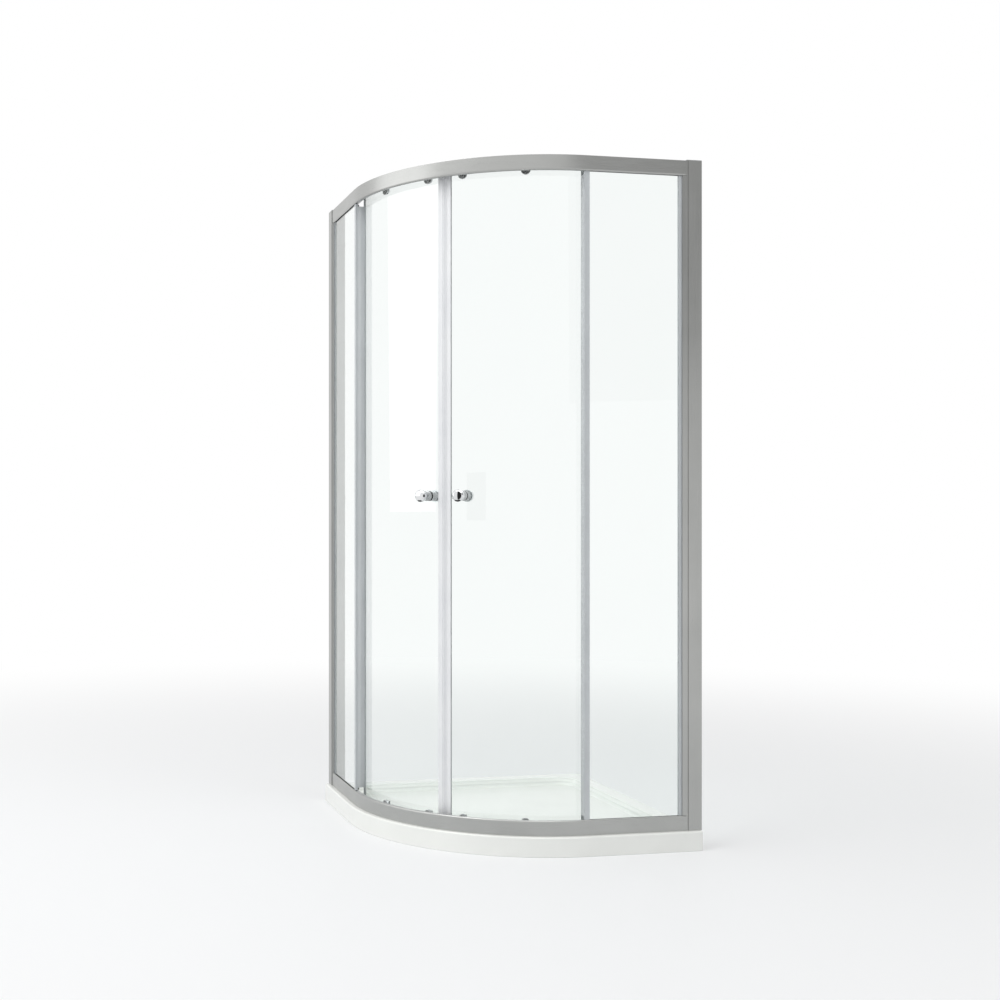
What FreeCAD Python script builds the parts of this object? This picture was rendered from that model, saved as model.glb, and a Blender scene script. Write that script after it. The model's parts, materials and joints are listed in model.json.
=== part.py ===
import FreeCAD, Part
import os
from math import cos, degrees, radians, sin, sqrt

# Quadrant shower enclosure on its tray: two flat fixed panels, two curved doors
# that roll sideways between a top and a bottom rail, and a wall profile each side.
# Millimetres. +Z is up. The origin is on the floor under the middle of the tray.
# The two walls are the planes X = +tray_side/2 and Y = +tray_side/2, and the
# doors meet on the diagonal that points to -X, -Y. The left half is the mirror
# of the right half in the plane X = Y.

# ---------------------------------------------------------------- tray
tray_side = 900.0            # square that the tray fits in
tray_radius = 550.0          # round front corner
tray_height = 56.0
tray_edge_round = 4.0        # top outer edge
front_rim = 66.0             # rim that carries the rails
wall_rim = 54.0              # rim along the walls
basin_depth = 26.0
basin_draft = 12.0           # how far the basin's walls lean in
basin_corner = 60.0
waste_clear = 88.0           # from its cover to the basin's round front
waste_hole = 45.0            # radius of the hole in the tray
waste_flange = 57.0          # radius of the waste's flange
waste_neck_wall = 3.0
waste_outlet = 25.0          # radius of the outlet's bore
waste_seat = 4.0             # depth of the seat for the flange
waste_pocket = 75.0          # radius of the pocket under the tray
pocket_height = 13.0
waste_cover = 54.0           # radius of the loose cover

# ---------------------------------------------------------------- frame
frame_height = 1900.0        # from the tray's rim to the top of the frame
frame_inset = 15.0           # rail face behind the tray's edge
rail_wall = 1.8
rail_beyond = 8.4            # face beyond the arm that carries the bead
rail_cover = 7.0             # floor of the rail beyond the door glass
lip_rise = 5.5               # rounded free edge of the rail's face
lip_run = 3.5
bead_wide = 2.0
bead_gap = 0.3               # between the bead and a wheel's tread
arm_clear = 2.8              # between the arm and a wheel's flanges
groove_wide = 4.2            # screw grooves in the rails
groove_rib = 1.4
groove_deep = 6.0
wall_profile_reach = 40.6    # from the wall to the profile's mouth
wall_profile_wall = 1.8
side_profile_face = 46.6     # from the wall to the face that the rails meet
side_profile_back = 10.0     # from the wall to the legs' ends
side_profile_slot = 12.0     # glazing slot, outward from that face
web_wall = 2.0
slide_gap = 0.3              # between a side profile and its wall profile
cap_plate = 2.0
cap_plug = 8.0
wall_hole = 2.75             # radius of the holes for the wall screws
wall_hole_first = 150.0      # above the tray's rim
wall_hole_count = 3
fixing_screw = 2.1           # radius of the screws that join the profiles
fixing_head = 3.8
fixing_first = 110.0

# ---------------------------------------------------------------- glass
fixed_glass_thick = 5.0
fixed_glass_front = 3.7      # between the glass and the rail's face wall
fixed_glass_back = 2.9       # between the glass and the web, where the wedge goes
block_rise = 6.2             # setting blocks under the glass
fixed_glass_cover = 1.5      # glass edge past the side profile's face
fixed_glass_free = 2.0       # free edge, from the end of the arc towards the wall
door_glass_thick = 5.0
door_glass_clear = 4.2       # between its edge and the rail's screw grooves
door_lead = 9.0              # glass edge short of the meeting line
door_lap = 1.3               # degrees that the door runs on past the arc's end

# ---------------------------------------------------------------- doors
door_travel = 24.0           # degrees that each door rolls
roller_near = 6.4            # degrees from the meeting line
roller_far = 27.0
wheel_radius = 11.5          # over the flanges
wheel_groove = 2.0           # depth of the groove
wheel_wide = 11.8
wheel_flange = 1.3
wheel_clear = 1.2            # under a lower wheel when it is released
axle_radius = 2.5
axle_fit = 0.05
axle_head = 4.0
axle_head_thick = 1.2
axle_clear = 1.4             # between an axle's head and the rail's web
carrier_disc = 13.5          # radius of the clamping disc on the glass
carrier_drop = 16.5          # from the wheel's middle to the clamping hole
carrier_boss = 6.7
hole_gap = 0.5               # between a boss and its hole in the glass
carrier_arm = 8.0            # half width of the arm that holds the axle
carrier_stud = 2.5
nut_radius = 12.0
nut_thick = 8.0
guide_flange = 2.4
guide_brim = 2.0             # flange beyond the hole in the glass
guide_wall = 1.0             # sleeve outside the slot's corners
sleeve_gap = 0.3
slider_travel = 4.0
slider_shank = 3.8
slider_fit = 0.2
slider_rise = 15.8           # from the wheel's middle to the shank's
slider_arm = 7.0             # half width
arm_plate = 2.0
button_wide = 18.0
button_tall = 18.5
button_drop = 4.0            # button's middle below the shank's
button_thick = 7.0
spring_strip = 0.5
spring_solid = 3.5           # height that the spring needs when the slider is down
seat_gap = 0.3               # between pieces that move past each other
face_gap = 0.1               # flat faces laid against the curved glass

# ---------------------------------------------------------------- knobs
knob_level = 950.0           # above the tray's rim
knob_reach = 46.0            # from the glass to the front of the cap
knob_cap = 17.5
knob_cap_thick = 15.0
knob_drum = 14.5             # drum between the cap and the glass
knob_grooves = (8.0, 12.5, 17.0)  # from the glass to each ring groove in the drum
knob_groove_wide = 1.2
knob_groove_deep = 0.7
knob_washer = 1.5
knob_hole = 6.0
knob_stud = 3.0

# ---------------------------------------------------------------- worked out
half = tray_side / 2
centre = half - (tray_side - tray_radius)
to_wall = half - centre
face_r = tray_radius - frame_inset
waste_reach = tray_radius - front_rim - basin_draft - waste_clear - waste_cover
wall_hole_pitch = (frame_height - 2 * wall_hole_first) / (wall_hole_count - 1)
fixing_pitch = (frame_height - 2 * fixing_first) / (wall_hole_count - 1)
slot_out = face_r - rail_wall
fixed_out = slot_out - fixed_glass_front
fixed_in = fixed_out - fixed_glass_thick
slot_in = fixed_in - fixed_glass_back
web_in = slot_in - rail_wall
wheel_out = web_in - axle_clear - axle_head_thick - seat_gap
wheel_in = wheel_out - wheel_wide
track_r = (wheel_in + wheel_out) / 2
door_out = wheel_in - seat_gap - arm_plate - seat_gap - guide_flange - face_gap
door_in = door_out - door_glass_thick
inner_r = door_in - rail_cover
profile_r = inner_r - 0.8
wheel_tread = wheel_radius - wheel_groove
wheel_level = rail_wall + wheel_clear + slider_travel + wheel_radius
bead_tip = wheel_level + wheel_tread + bead_gap
arm_level = wheel_level + wheel_radius + arm_clear
rail_height = arm_level + rail_wall + rail_beyond
fixed_glass_foot = rail_wall + groove_deep + block_rise
door_glass_foot = rail_wall + groove_deep + door_glass_clear
carrier_level = wheel_level + carrier_drop
carrier_hole = carrier_boss + hole_gap
slider_level = wheel_level + slider_rise
spring_foot = slider_level - slider_shank - slider_travel - spring_solid
slot_top = slider_level + slider_shank + slider_fit
slot_half = slider_shank + slider_fit
guide_level = (spring_foot + slot_top) / 2
guide_sleeve = sqrt((slot_top - guide_level) ** 2 + slot_half ** 2) + guide_wall
guide_hole = guide_sleeve + sleeve_gap
guide_disc = guide_hole + guide_brim
roller_reach = max(carrier_level + carrier_disc, guide_level + guide_disc)
rail_run = to_wall - side_profile_face
door_first = degrees(door_lead / (door_in + door_glass_thick / 2))
door_last = 45.0 + door_lap
groove_out = (fixed_in + fixed_out) / 2
groove_inn = inner_r + rail_wall + groove_rib + groove_wide / 2 + 2.0
groove_level = rail_wall + groove_wide / 2 + 0.8
UP = FreeCAD.Vector(0, 0, 1)
OUT = FreeCAD.Vector(1, 0, 0)
ALONG = FreeCAD.Vector(0, 1, 0)
ZERO = FreeCAD.Vector(0, 0, 0)


# ---------------------------------------------------------------- helpers
def point(x, y, z):
    return FreeCAD.Vector(x, y, z)


def box(r0, r1, s0, s1, z0, z1):
    """A block from corner to corner: outward, along the side, up."""
    return Part.makeBox(r1 - r0, s1 - s0, z1 - z0, point(r0, s0, z0))


def rod(radius, r0, r1, s=0.0, z=0.0):
    """A round bar along the outward direction."""
    return Part.makeCylinder(radius, r1 - r0, point(r0, s, z), OUT)


def bar(sides, radius, length, start, way):
    """A many-sided bar from start along way: the plain form of a small fastener."""
    ring = [point(radius * cos(radians(360 * n / sides)), radius * sin(radians(360 * n / sides)), 0)
            for n in range(sides)]
    solid = Part.Face(Part.makePolygon(ring + ring[:1])).extrude(point(0, 0, length))
    solid.Placement = FreeCAD.Placement(start, FreeCAD.Rotation(UP, way))
    return solid


def outline(corners, place):
    """A face from straight edges; place turns each pair into a point."""
    points = [place(a, b) for a, b in corners]
    return Part.Face(Part.makePolygon(points + points[:1]))


def upright(r, z):
    return point(r, 0, z)


def plan(r, s):
    return point(r, s, 0)


def prism(corners, z0, z1):
    """A plan outline raised from z0 to z1."""
    face = outline(corners, plan)
    face.translate(point(0, 0, z0))
    return face.extrude(point(0, 0, z1 - z0))


def turned(corners, axis_s=0.0, axis_z=0.0):
    """A half profile of (outward, radius) pairs turned about an outward axis."""
    face = outline(corners, upright)
    solid = face.revolve(ZERO, OUT, 360)
    solid.translate(point(0, axis_s, axis_z))
    return solid


def upside(shape):
    """The same piece at the top of the frame, upside down."""
    return shape.mirror(point(0, 0, frame_height / 2), UP)


def placed(shape, angle):
    """From the working frame at the arc's centre to the enclosure."""
    solid = shape.copy()
    solid.rotate(ZERO, UP, angle)
    solid.translate(point(centre, centre, tray_height))
    return solid


def on_right(shape):
    """Outward becomes -Y and along becomes +X: the right-hand flat side."""
    return placed(shape, 270)


def on_door(shape, phi):
    """A station on the right door, phi degrees from the meeting line."""
    return placed(shape, 225 + phi)


def mirrored(shape):
    """The left half's copy of a right-hand piece."""
    return shape.mirror(ZERO, point(1, -1, 0))


def fused(shapes):
    solid = shapes[0].fuse(shapes[1:]) if len(shapes) > 1 else shapes[0]
    return solid.removeSplitter()


def write(name, shapes):
    """One STEP file: a lone solid, or a group of separate solids."""
    solids = [solid for shape in shapes for solid in shape.Solids]
    shape = solids[0] if len(solids) == 1 else Part.makeCompound(solids)
    for solid in solids:
        if not solid.isValid() or solid.Volume < 1.0:
            print("CHECK", name, solid.isValid(), round(solid.Volume, 2))
    shape.exportStep("parts/" + name + ".step")
    print(name, len(solids), "solids", round(shape.Volume / 1000, 2), "cm3")


def write_sides(name, shapes):
    """A right-hand node and its mirror on the left."""
    write(name + "_right", shapes)
    write(name + "_left", [mirrored(shape) for shape in shapes])


def quadrant_wire(radius, wall, corner, z):
    """Plan outline: round front, flat sides, rounded corners at the walls."""
    front = centre - radius
    bend = corner * (1 - sqrt(0.5))

    def arc(start, middle, end):
        return Part.Arc(point(*start, z), point(*middle, z), point(*end, z)).toShape()

    def line(start, end):
        return Part.LineSegment(point(*start, z), point(*end, z)).toShape()

    mid = centre - radius * sqrt(0.5)
    edges = [
        line((centre, front), (wall - corner, front)),
        arc((wall - corner, front), (wall - bend, front + bend), (wall, front + corner)),
        line((wall, front + corner), (wall, wall - corner)),
        arc((wall, wall - corner), (wall - bend, wall - bend), (wall - corner, wall)),
        line((wall - corner, wall), (front + corner, wall)),
        arc((front + corner, wall), (front + bend, wall - bend), (front, wall - corner)),
        line((front, wall - corner), (front, centre)),
        arc((front, centre), (mid, mid), (centre, front)),
    ]
    return Part.Wire(edges)


# ---------------------------------------------------------------- tray and waste
def waste_place():
    reach = waste_reach * sqrt(0.5)
    return point(centre - reach, centre - reach, 0)


def waste_disc(radius, z0, z1):
    disc = Part.makeCylinder(radius, z1 - z0, point(0, 0, z0))
    disc.translate(waste_place())
    return disc


def shower_tray():
    body = Part.Face(quadrant_wire(tray_radius, half, 3.0, 0)).extrude(point(0, 0, tray_height))
    top_edges = [
        edge for edge in body.Edges
        if min(v.Z for v in edge.Vertexes) > tray_height - 1
        and min(v.X + v.Y for v in edge.Vertexes) < centre + half - tray_radius + 1
    ]
    body = body.makeFillet(tray_edge_round, top_edges)
    floor = tray_height - basin_depth
    rim = quadrant_wire(tray_radius - front_rim, half - wall_rim, basin_corner, tray_height + 1)
    low = quadrant_wire(tray_radius - front_rim - basin_draft, half - wall_rim - basin_draft,
                        basin_corner - basin_draft, floor)
    basin = Part.makeLoft([low, rim], True, True)
    body = body.cut(basin)
    body = body.cut(waste_disc(waste_flange + 1.0, floor - waste_seat, floor + 1))
    body = body.cut(waste_disc(waste_hole, 0, floor))
    return body.cut(waste_disc(waste_pocket, -1, pocket_height))


def waste_parts():
    """Flanged body, clamping nut under the tray, seals and the loose cover."""
    floor = tray_height - basin_depth
    seat = floor - waste_seat
    neck = waste_hole - 0.5
    bore = waste_disc(neck - waste_neck_wall, 3.0, floor + 1)
    seal_thick = 1.0
    body = waste_disc(waste_flange, seat + seal_thick, seat + seal_thick + 1.8)
    body = body.fuse(waste_disc(neck, 0.8, seat + seal_thick + 0.5)).cut(bore)
    body = body.cut(waste_disc(waste_outlet, 0, 4)).removeSplitter()
    ring = waste_disc(waste_pocket - 12, 4.0, pocket_height - seal_thick)
    nut = ring.cut(waste_disc(neck, 0, floor))
    for turn in range(8):
        notch = box(waste_pocket - 17, waste_pocket, -5, 5, 3, 8)
        notch.rotate(ZERO, UP, 45 * turn)
        notch.translate(waste_place())
        nut = nut.cut(notch)
    seals = [
        waste_disc(waste_flange - 1, seat, seat + seal_thick),
        waste_disc(waste_pocket - 14, pocket_height - seal_thick, pocket_height),
    ]
    seals = [seal.cut(waste_disc(neck + seat_gap, 0, floor)) for seal in seals]
    dome_edge = waste_cover
    rise = 3.0
    stem = seat + seal_thick + 1.8
    profile = [(0, stem + 1.2), (dome_edge - 6, stem + 1.2), (dome_edge, stem + 1.2),
               (dome_edge, stem + 2.4), (dome_edge - 4, stem + 1.2 + rise), (0, stem + 2.0 + rise)]
    face = outline(profile, upright)
    cover = face.revolve(ZERO, UP, 360)
    cover.translate(waste_place())
    for turn in range(3):
        foot = box(neck - waste_neck_wall - 4, neck - waste_neck_wall - 0.6, -4, 4, 12, stem + 1.6)
        foot.rotate(ZERO, UP, 120 * turn)
        foot.translate(waste_place())
        cover = cover.fuse(foot)
    for turn in range(3):
        pad = box(waste_flange - 8, waste_cover - 0.5, -4, 4, stem, stem + 1.6)
        pad.rotate(ZERO, UP, 60 + 120 * turn)
        pad.translate(waste_place())
        cover = cover.fuse(pad)
    return body, nut, seals, cover.removeSplitter()


# ---------------------------------------------------------------- rails
def rail_section():
    """The rail's extrusion, lying as at the bottom: face, slot, arm and bead, grooves."""
    rib_a0 = groove_out - groove_wide / 2 - groove_rib
    rib_a1 = groove_out + groove_wide / 2
    rib_b0 = groove_inn - groove_wide / 2 - groove_rib
    rib_b1 = groove_inn + groove_wide / 2
    rib_top = rail_wall + groove_deep
    bead_in = track_r - bead_wide / 2
    bead_out = track_r + bead_wide / 2
    lip_end = face_r - lip_run
    before = [(lip_end, rail_height - rail_wall), (slot_out, rail_height - lip_rise)]
    inside = [
        (slot_out, rail_wall),
        (rib_a1 + groove_rib, rail_wall), (rib_a1 + groove_rib, rib_top),
        (rib_a1, rib_top), (rib_a1, rail_wall),
        (rib_a0 + groove_rib, rail_wall), (rib_a0 + groove_rib, rib_top),
        (rib_a0, rib_top), (rib_a0, rail_wall),
        (slot_in, rail_wall), (slot_in, rail_height - rail_wall),
        (web_in, rail_height - rail_wall), (web_in, arm_level + rail_wall),
        (bead_in, arm_level + rail_wall), (bead_in, bead_tip),
        (bead_out, bead_tip), (bead_out, arm_level), (web_in, arm_level),
        (web_in, rail_wall),
        (rib_b1 + groove_rib, rail_wall), (rib_b1 + groove_rib, rib_top),
        (rib_b1, rib_top), (rib_b1, rail_wall),
        (rib_b0 + groove_rib, rail_wall), (rib_b0 + groove_rib, rib_top),
        (rib_b0, rib_top), (rib_b0, rail_wall),
        (inner_r + rail_wall, rail_wall), (inner_r + rail_wall, rail_wall * 2),
        (inner_r, rail_wall * 2), (inner_r, 0), (face_r, 0), (face_r, rail_height - lip_rise),
    ]
    points = [upright(r, z) for r, z in before + inside]
    edges = [Part.LineSegment(a, b).toShape() for a, b in zip(points, points[1:])]
    crown = upright(face_r - 0.9, rail_height - lip_rise * 0.36)
    edges.append(Part.Arc(points[-1], crown, upright(lip_end, rail_height)).toShape())
    edges.append(Part.LineSegment(upright(lip_end, rail_height), points[0]).toShape())
    return Part.Face(Part.Wire(edges))


def swept(face, run):
    """A section carried round the arc and along both flat sides."""
    start = face.copy()
    start.rotate(ZERO, UP, 180)
    arc = start.revolve(ZERO, UP, 90)
    if run <= 0:
        return arc
    finish = face.copy()
    finish.rotate(ZERO, UP, 270)
    left = start.extrude(point(0, run, 0))
    right = finish.extrude(point(run, 0, 0))
    return fused([arc, left, right])


def bottom_rail():
    return placed(swept(rail_section(), rail_run), 0)


def top_rail():
    return placed(upside(swept(rail_section(), rail_run)), 0)


def infill_strips():
    """Clip-in covers for the glazing slot where the doors are."""
    low = rail_height - 6.5
    high = rail_height - 1.0
    leg = 1.5
    r0 = slot_in + 0.3
    r1 = face_r - lip_run - 0.5
    corners = [(r0, low), (r0 + leg, low), (r0 + leg, high - leg), (r1 - leg, high - leg),
               (r1 - leg, low), (r1, low), (r1, high), (r0, high)]
    start = outline(corners, upright)
    trim = 0.5
    start.rotate(ZERO, UP, 180 + trim)
    strip = start.revolve(ZERO, UP, 90 - 2 * trim)
    return [placed(strip, 0), placed(upside(strip), 0)]


def rail_end_screws():
    """Two screws at each end of each rail, through the side profile into the grooves."""
    screws = []
    face = to_wall - side_profile_face
    for r in (groove_out, groove_inn):
        head = bar(10, fixing_head, 2.2, point(r, face + web_wall, groove_level), ALONG)
        shank = bar(8, groove_wide / 2, 20, point(r, face - 18, groove_level), ALONG)
        screw = head.fuse(shank).removeSplitter()
        screws += [screw, upside(screw)]
    right = [on_right(screw) for screw in screws]
    return right + [mirrored(screw) for screw in right]


# ---------------------------------------------------------------- upright profiles
def levels(first, pitch, count):
    return [first + pitch * index for index in range(count)]


def wall_profile():
    """Channel screwed to the wall; its mouth takes the side profile."""
    thick = wall_profile_wall
    r0 = profile_r
    r1 = face_r + thick
    mouth = to_wall - wall_profile_reach
    corners = [(r0, mouth), (r0 + thick, mouth), (r0 + thick, to_wall - thick),
               (r1 - thick, to_wall - thick), (r1 - thick, mouth), (r1, mouth),
               (r1, to_wall), (r0, to_wall)]
    solid = prism(corners, 0, frame_height)
    middle = (r0 + r1) / 2
    for z in levels(wall_hole_first, wall_hole_pitch, wall_hole_count):
        hole = Part.makeCylinder(wall_hole, 3 * thick, point(middle, to_wall - 2 * thick, z), ALONG)
        solid = solid.cut(hole)
    for z in levels(fixing_first, fixing_pitch, wall_hole_count):
        solid = solid.cut(rod(fixing_screw, r0 - 1, r0 + thick + 0.1, fixing_run(), z))
    return on_right(solid)


def fixing_run():
    return to_wall - wall_profile_reach * 0.7


def side_profile():
    """Slides in the wall profile, closes the rails' ends and holds the fixed glass."""
    thick = rail_wall
    r0 = profile_r + wall_profile_wall + slide_gap
    r1 = face_r - slide_gap
    back = to_wall - side_profile_back
    face = to_wall - side_profile_face
    corners = [(r0, back), (r0, face), (r1, face), (r1, back), (r1 - thick, back),
               (r1 - thick, face + web_wall), (r0 + thick, face + web_wall), (r0 + thick, back)]
    solid = prism(corners, 0, frame_height)
    low = rail_height
    high = frame_height - rail_height
    tip = face - side_profile_slot
    channel = [(slot_in - thick, face + 0.5), (slot_in - thick, tip), (slot_in, tip),
               (slot_in, face + 0.5)]
    outer = [(slot_out, face + 0.5), (slot_out, tip), (face_r - 0.3, tip), (face_r - 0.3, face + 0.5)]
    solid = solid.fuse([prism(channel, low, high), prism(outer, low, high)])
    for z in (groove_level, frame_height - groove_level):
        for r in (groove_out, groove_inn):
            hole = Part.makeCylinder(groove_wide / 2 + 0.2, 3 * web_wall,
                                     point(r, face - web_wall, z), ALONG)
            solid = solid.cut(hole)
    for z in levels(fixing_first, fixing_pitch, wall_hole_count):
        solid = solid.cut(rod(fixing_screw, r0 - 1, r0 + thick + 1, fixing_run(), z))
    return on_right(solid.removeSplitter())


def fixing_screws():
    """Screws from the inside that lock the side profile in the wall profile."""
    r0 = profile_r
    screws = []
    for z in levels(fixing_first, fixing_pitch, wall_hole_count):
        shank = bar(8, fixing_screw, 12.5, point(r0 - 0.5, fixing_run(), z), OUT)
        head = bar(10, fixing_head, 2.0, point(r0 - 2.0, fixing_run(), z), OUT)
        screws.append(on_right(head.fuse(shank).removeSplitter()))
    return screws + [mirrored(screw) for screw in screws]


def fixing_caps():
    """Snap-on covers for those screws."""
    r0 = profile_r
    caps = []
    for z in levels(fixing_first, fixing_pitch, wall_hole_count):
        shell = bar(16, fixing_head + 1.6, 3.6, point(r0 - 3.6, fixing_run(), z), OUT)
        hollow = bar(10, fixing_head + 0.4, 2.3, point(r0 - 2.3, fixing_run(), z), OUT)
        caps.append(on_right(shell.cut(hollow)))
    return caps + [mirrored(cap) for cap in caps]


def profile_caps():
    """Push-in covers on the upright profiles' top ends."""
    r0 = profile_r
    r1 = face_r + wall_profile_wall
    face = to_wall - side_profile_face
    plate = box(r0, r1, face + 0.4, to_wall, frame_height, frame_height + cap_plate)
    rims = [edge for edge in plate.Edges
            if min(v.Z for v in edge.Vertexes) > frame_height + cap_plate / 2
            and min(v.Y for v in edge.Vertexes) < to_wall - 1]
    plate = plate.makeFillet(1.0, rims)
    gap = 0.3
    plug = box(r0 + wall_profile_wall + gap, r1 - wall_profile_wall - gap,
               to_wall - side_profile_back + gap, to_wall - wall_profile_wall - gap,
               frame_height - cap_plug, frame_height)
    cap = on_right(plate.fuse(plug).removeSplitter())
    return [cap, mirrored(cap)]


# ---------------------------------------------------------------- fixed panels
def fixed_glass():
    back = to_wall - side_profile_face - fixed_glass_cover
    solid = box(fixed_in, fixed_out, fixed_glass_free, back,
                fixed_glass_foot, frame_height - fixed_glass_foot)
    return on_right(solid)


def edge_gaskets():
    """Clear strips that wrap the glass edge in the side profile and show beside it."""
    face = to_wall - side_profile_face
    tip = face - side_profile_slot
    show = tip - 10.0
    wing = 1.6
    gap = 0.1
    r0 = fixed_in - gap
    r1 = fixed_out + gap
    glass_end = face - fixed_glass_cover
    corners = [(r0 - wing, show), (r0, show), (r0, glass_end + 0.2), (r1, glass_end + 0.2),
               (r1, show), (r1 + wing, show), (r1 + wing, face), (r0 - wing, face)]
    low = rail_height + 0.3
    strip = on_right(prism(corners, low, frame_height - low))
    return [strip, mirrored(strip)]


def rail_gaskets():
    """Wedges that press the fixed glass forward in both rails."""
    face = to_wall - side_profile_face
    corners = [(slot_in, rail_height - rail_wall - 9), (fixed_in, rail_height - rail_wall - 11),
               (fixed_in, rail_height - 0.6), (slot_in - 0.9, rail_height - 0.6),
               (slot_in - 0.9, rail_height - rail_wall), (slot_in, rail_height - rail_wall)]
    start = outline(corners, upright)
    start.translate(point(0, 14.0, 0))
    wedge = start.extrude(point(0, face - 0.5 - 14.0, 0))
    right = [on_right(wedge), on_right(upside(wedge))]
    return right + [mirrored(shape) for shape in right]


def setting_blocks():
    """Rubber blocks between each fixed glass and the rails' grooves."""
    rest = rail_wall + groove_deep
    wide = groove_wide / 2 + groove_rib
    blocks = []
    for s in (45.0, rail_run - 65.0):
        block = box(groove_out - wide, groove_out + wide, s, s + 30, rest, fixed_glass_foot)
        blocks += [on_right(block), on_right(upside(block))]
    return blocks + [mirrored(block) for block in blocks]


def panel_seal():
    """Strip on the fixed glass's free edge whose fin closes the step to the door."""
    edge = fixed_glass_free
    gap = 0.1
    wing = 1.2
    r0 = fixed_in - gap
    r1 = fixed_out + gap
    grip = [(r0, edge + 12), (r0 - wing, edge + 12), (r0 - wing, edge - 3.5), (r1 + wing, edge - 3.5),
            (r1 + wing, edge + 12), (r1, edge + 12), (r1, edge - gap), (r0, edge - gap)]
    low = rail_height + 0.3
    solid = prism(grip, low, frame_height - low)
    root = r0 - wing
    tip = door_out + seat_gap
    clear = roller_reach + 3
    fin = [(root + 0.1, edge - 3.5), (root - 7, edge - 3.5), (tip + 0.6, edge - 1.6), (tip, edge - 0.2),
           (tip + 1.2, edge + 0.4), (root - 7, edge - 1.6), (root - 2, edge + 1.5), (root + 0.1, edge + 4)]
    return on_right(solid.fuse(prism(fin, clear, frame_height - clear)).removeSplitter())


def roller_stops():
    """Rubber-faced blocks clipped over the bead where the far wheels end their travel."""
    reach = sin(radians(roller_far + door_travel - 45.0)) * track_r + wheel_radius + 1.0
    r0 = track_r - 5
    r1 = track_r + 5
    z0 = bead_tip - 7
    block = box(r0, r1, reach, reach + 14, z0, arm_level - 0.2)
    slot = box(track_r - bead_wide / 2 - 0.1, track_r + bead_wide / 2 + 0.1, reach - 1, reach + 15,
               bead_tip, arm_level)
    stop = block.cut(slot)
    web = box(r1 - 0.2, slot_in - rail_wall, reach, reach + 14, arm_level - 5, arm_level - 0.2)
    inner = box(r0 - 3, track_r - bead_wide / 2 - 0.1, reach, reach + 14, arm_level - 1, arm_level + 4)
    inner = inner.cut(box(track_r - bead_wide / 2 - 0.2, track_r, reach - 1, reach + 15, 0, 60))
    stop = stop.fuse([web, inner]).removeSplitter()
    right = [on_right(stop), on_right(upside(stop))]
    return right + [mirrored(shape) for shape in right]


# ---------------------------------------------------------------- doors
def door_glass():
    """Curved pane with its holes for rollers, guides and knob."""
    face = outline([(door_in, door_glass_foot), (door_out, door_glass_foot),
                    (door_out, frame_height - door_glass_foot),
                    (door_in, frame_height - door_glass_foot)], upright)
    face.rotate(ZERO, UP, door_first)
    pane = face.revolve(ZERO, UP, door_last - door_first)
    for phi in (roller_near, roller_far):
        top = rod(carrier_hole, door_in - 5, door_out + 5, 0, frame_height - carrier_level)
        low = rod(guide_hole, door_in - 5, door_out + 5, 0, guide_level)
        for hole in (top, low):
            hole.rotate(ZERO, UP, phi)
            pane = pane.cut(hole)
    knob = rod(knob_hole, door_in - 5, door_out + 5, 0, knob_level)
    knob.rotate(ZERO, UP, roller_near)
    return on_door(pane.cut(knob), 0)


def meeting_seal():
    """Magnetic strip on the leading edge: a grip on the glass and a hollow for the magnet."""
    half_gap = seat_gap / 2
    low = door_glass_foot + 2
    high = frame_height - door_glass_foot - 2
    inn = door_in - 0.6
    out = door_out + 0.3
    wing = 1.6
    pinch = door_lead + 11
    shell = [(inn - wing, pinch), (inn - wing, door_lead - 1), (inn - 3.4, door_lead - 3),
             (inn - 3.4, half_gap), (out + 3.4, half_gap), (out + 3.4, door_lead - 3),
             (out + wing, door_lead - 1), (out + wing, pinch), (out, pinch),
             (out, door_lead - 0.4), (inn, door_lead - 0.4), (inn, pinch)]
    magnet = [(inn - 2, half_gap + 1.2), (out + 2, half_gap + 1.2),
              (out + 2, half_gap + 5.0), (inn - 2, half_gap + 5.0)]
    strip = prism(shell, low, high).cut(prism(magnet, low - 1, high + 1))
    bar = prism(magnet, low + 1, high - 1)
    return [on_door(strip, 0), on_door(bar, 0)]


def trailing_seal():
    """Strip on the trailing edge: its lip passes behind the fixed panel's fin."""
    low = door_glass_foot + 2
    high = frame_height - door_glass_foot - 2
    inn = door_in - 0.5
    out = door_out + 0.3
    wing = 1.3
    grip = [(inn, -9), (inn - wing, -9), (inn - wing, 2), (out + wing, 2), (out + wing, -5),
            (out, -5), (out, 0.3), (inn, 0.3)]
    solid = prism(grip, low, high)
    clear = roller_reach + 3
    lip = [(out + wing - 0.2, 0), (out + wing - 0.2, 2), (out + 8, 3.4), (out + 8, 2.4)]
    solid = solid.fuse(prism(lip, clear, frame_height - clear)).removeSplitter()
    return on_door(solid, door_last)


def carrier():
    """Upper roller carrier: disc and boss clamped in the glass, arm up to the axle."""
    base = door_out + face_gap
    plate = 2.4
    z0 = carrier_level
    z1 = wheel_level
    arm_out = wheel_in - seat_gap
    disc = rod(carrier_disc, base, base + plate, 0, z0)
    boss = rod(carrier_boss, door_in, base, 0, z0)
    stem = box(base, arm_out, -carrier_arm, carrier_arm, z1, z0 - 2)
    crown = rod(carrier_arm, base, arm_out, 0, z1)
    solid = fused([disc, boss, stem, crown])
    solid = solid.cut(rod(axle_radius, base - 1, arm_out + 1, 0, z1))
    solid = solid.cut(rod(carrier_stud, door_in - 1, base + plate - 1.0, 0, z0))
    return upside(solid)


def carrier_axle():
    """Headed pin pressed in the carrier; the wheel turns on it."""
    head = wheel_out + seat_gap
    pin = rod(axle_radius, door_out + face_gap, head, 0, wheel_level)
    cap = rod(axle_head, head, head + axle_head_thick, 0, wheel_level)
    return upside(pin.fuse(cap).removeSplitter())


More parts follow.
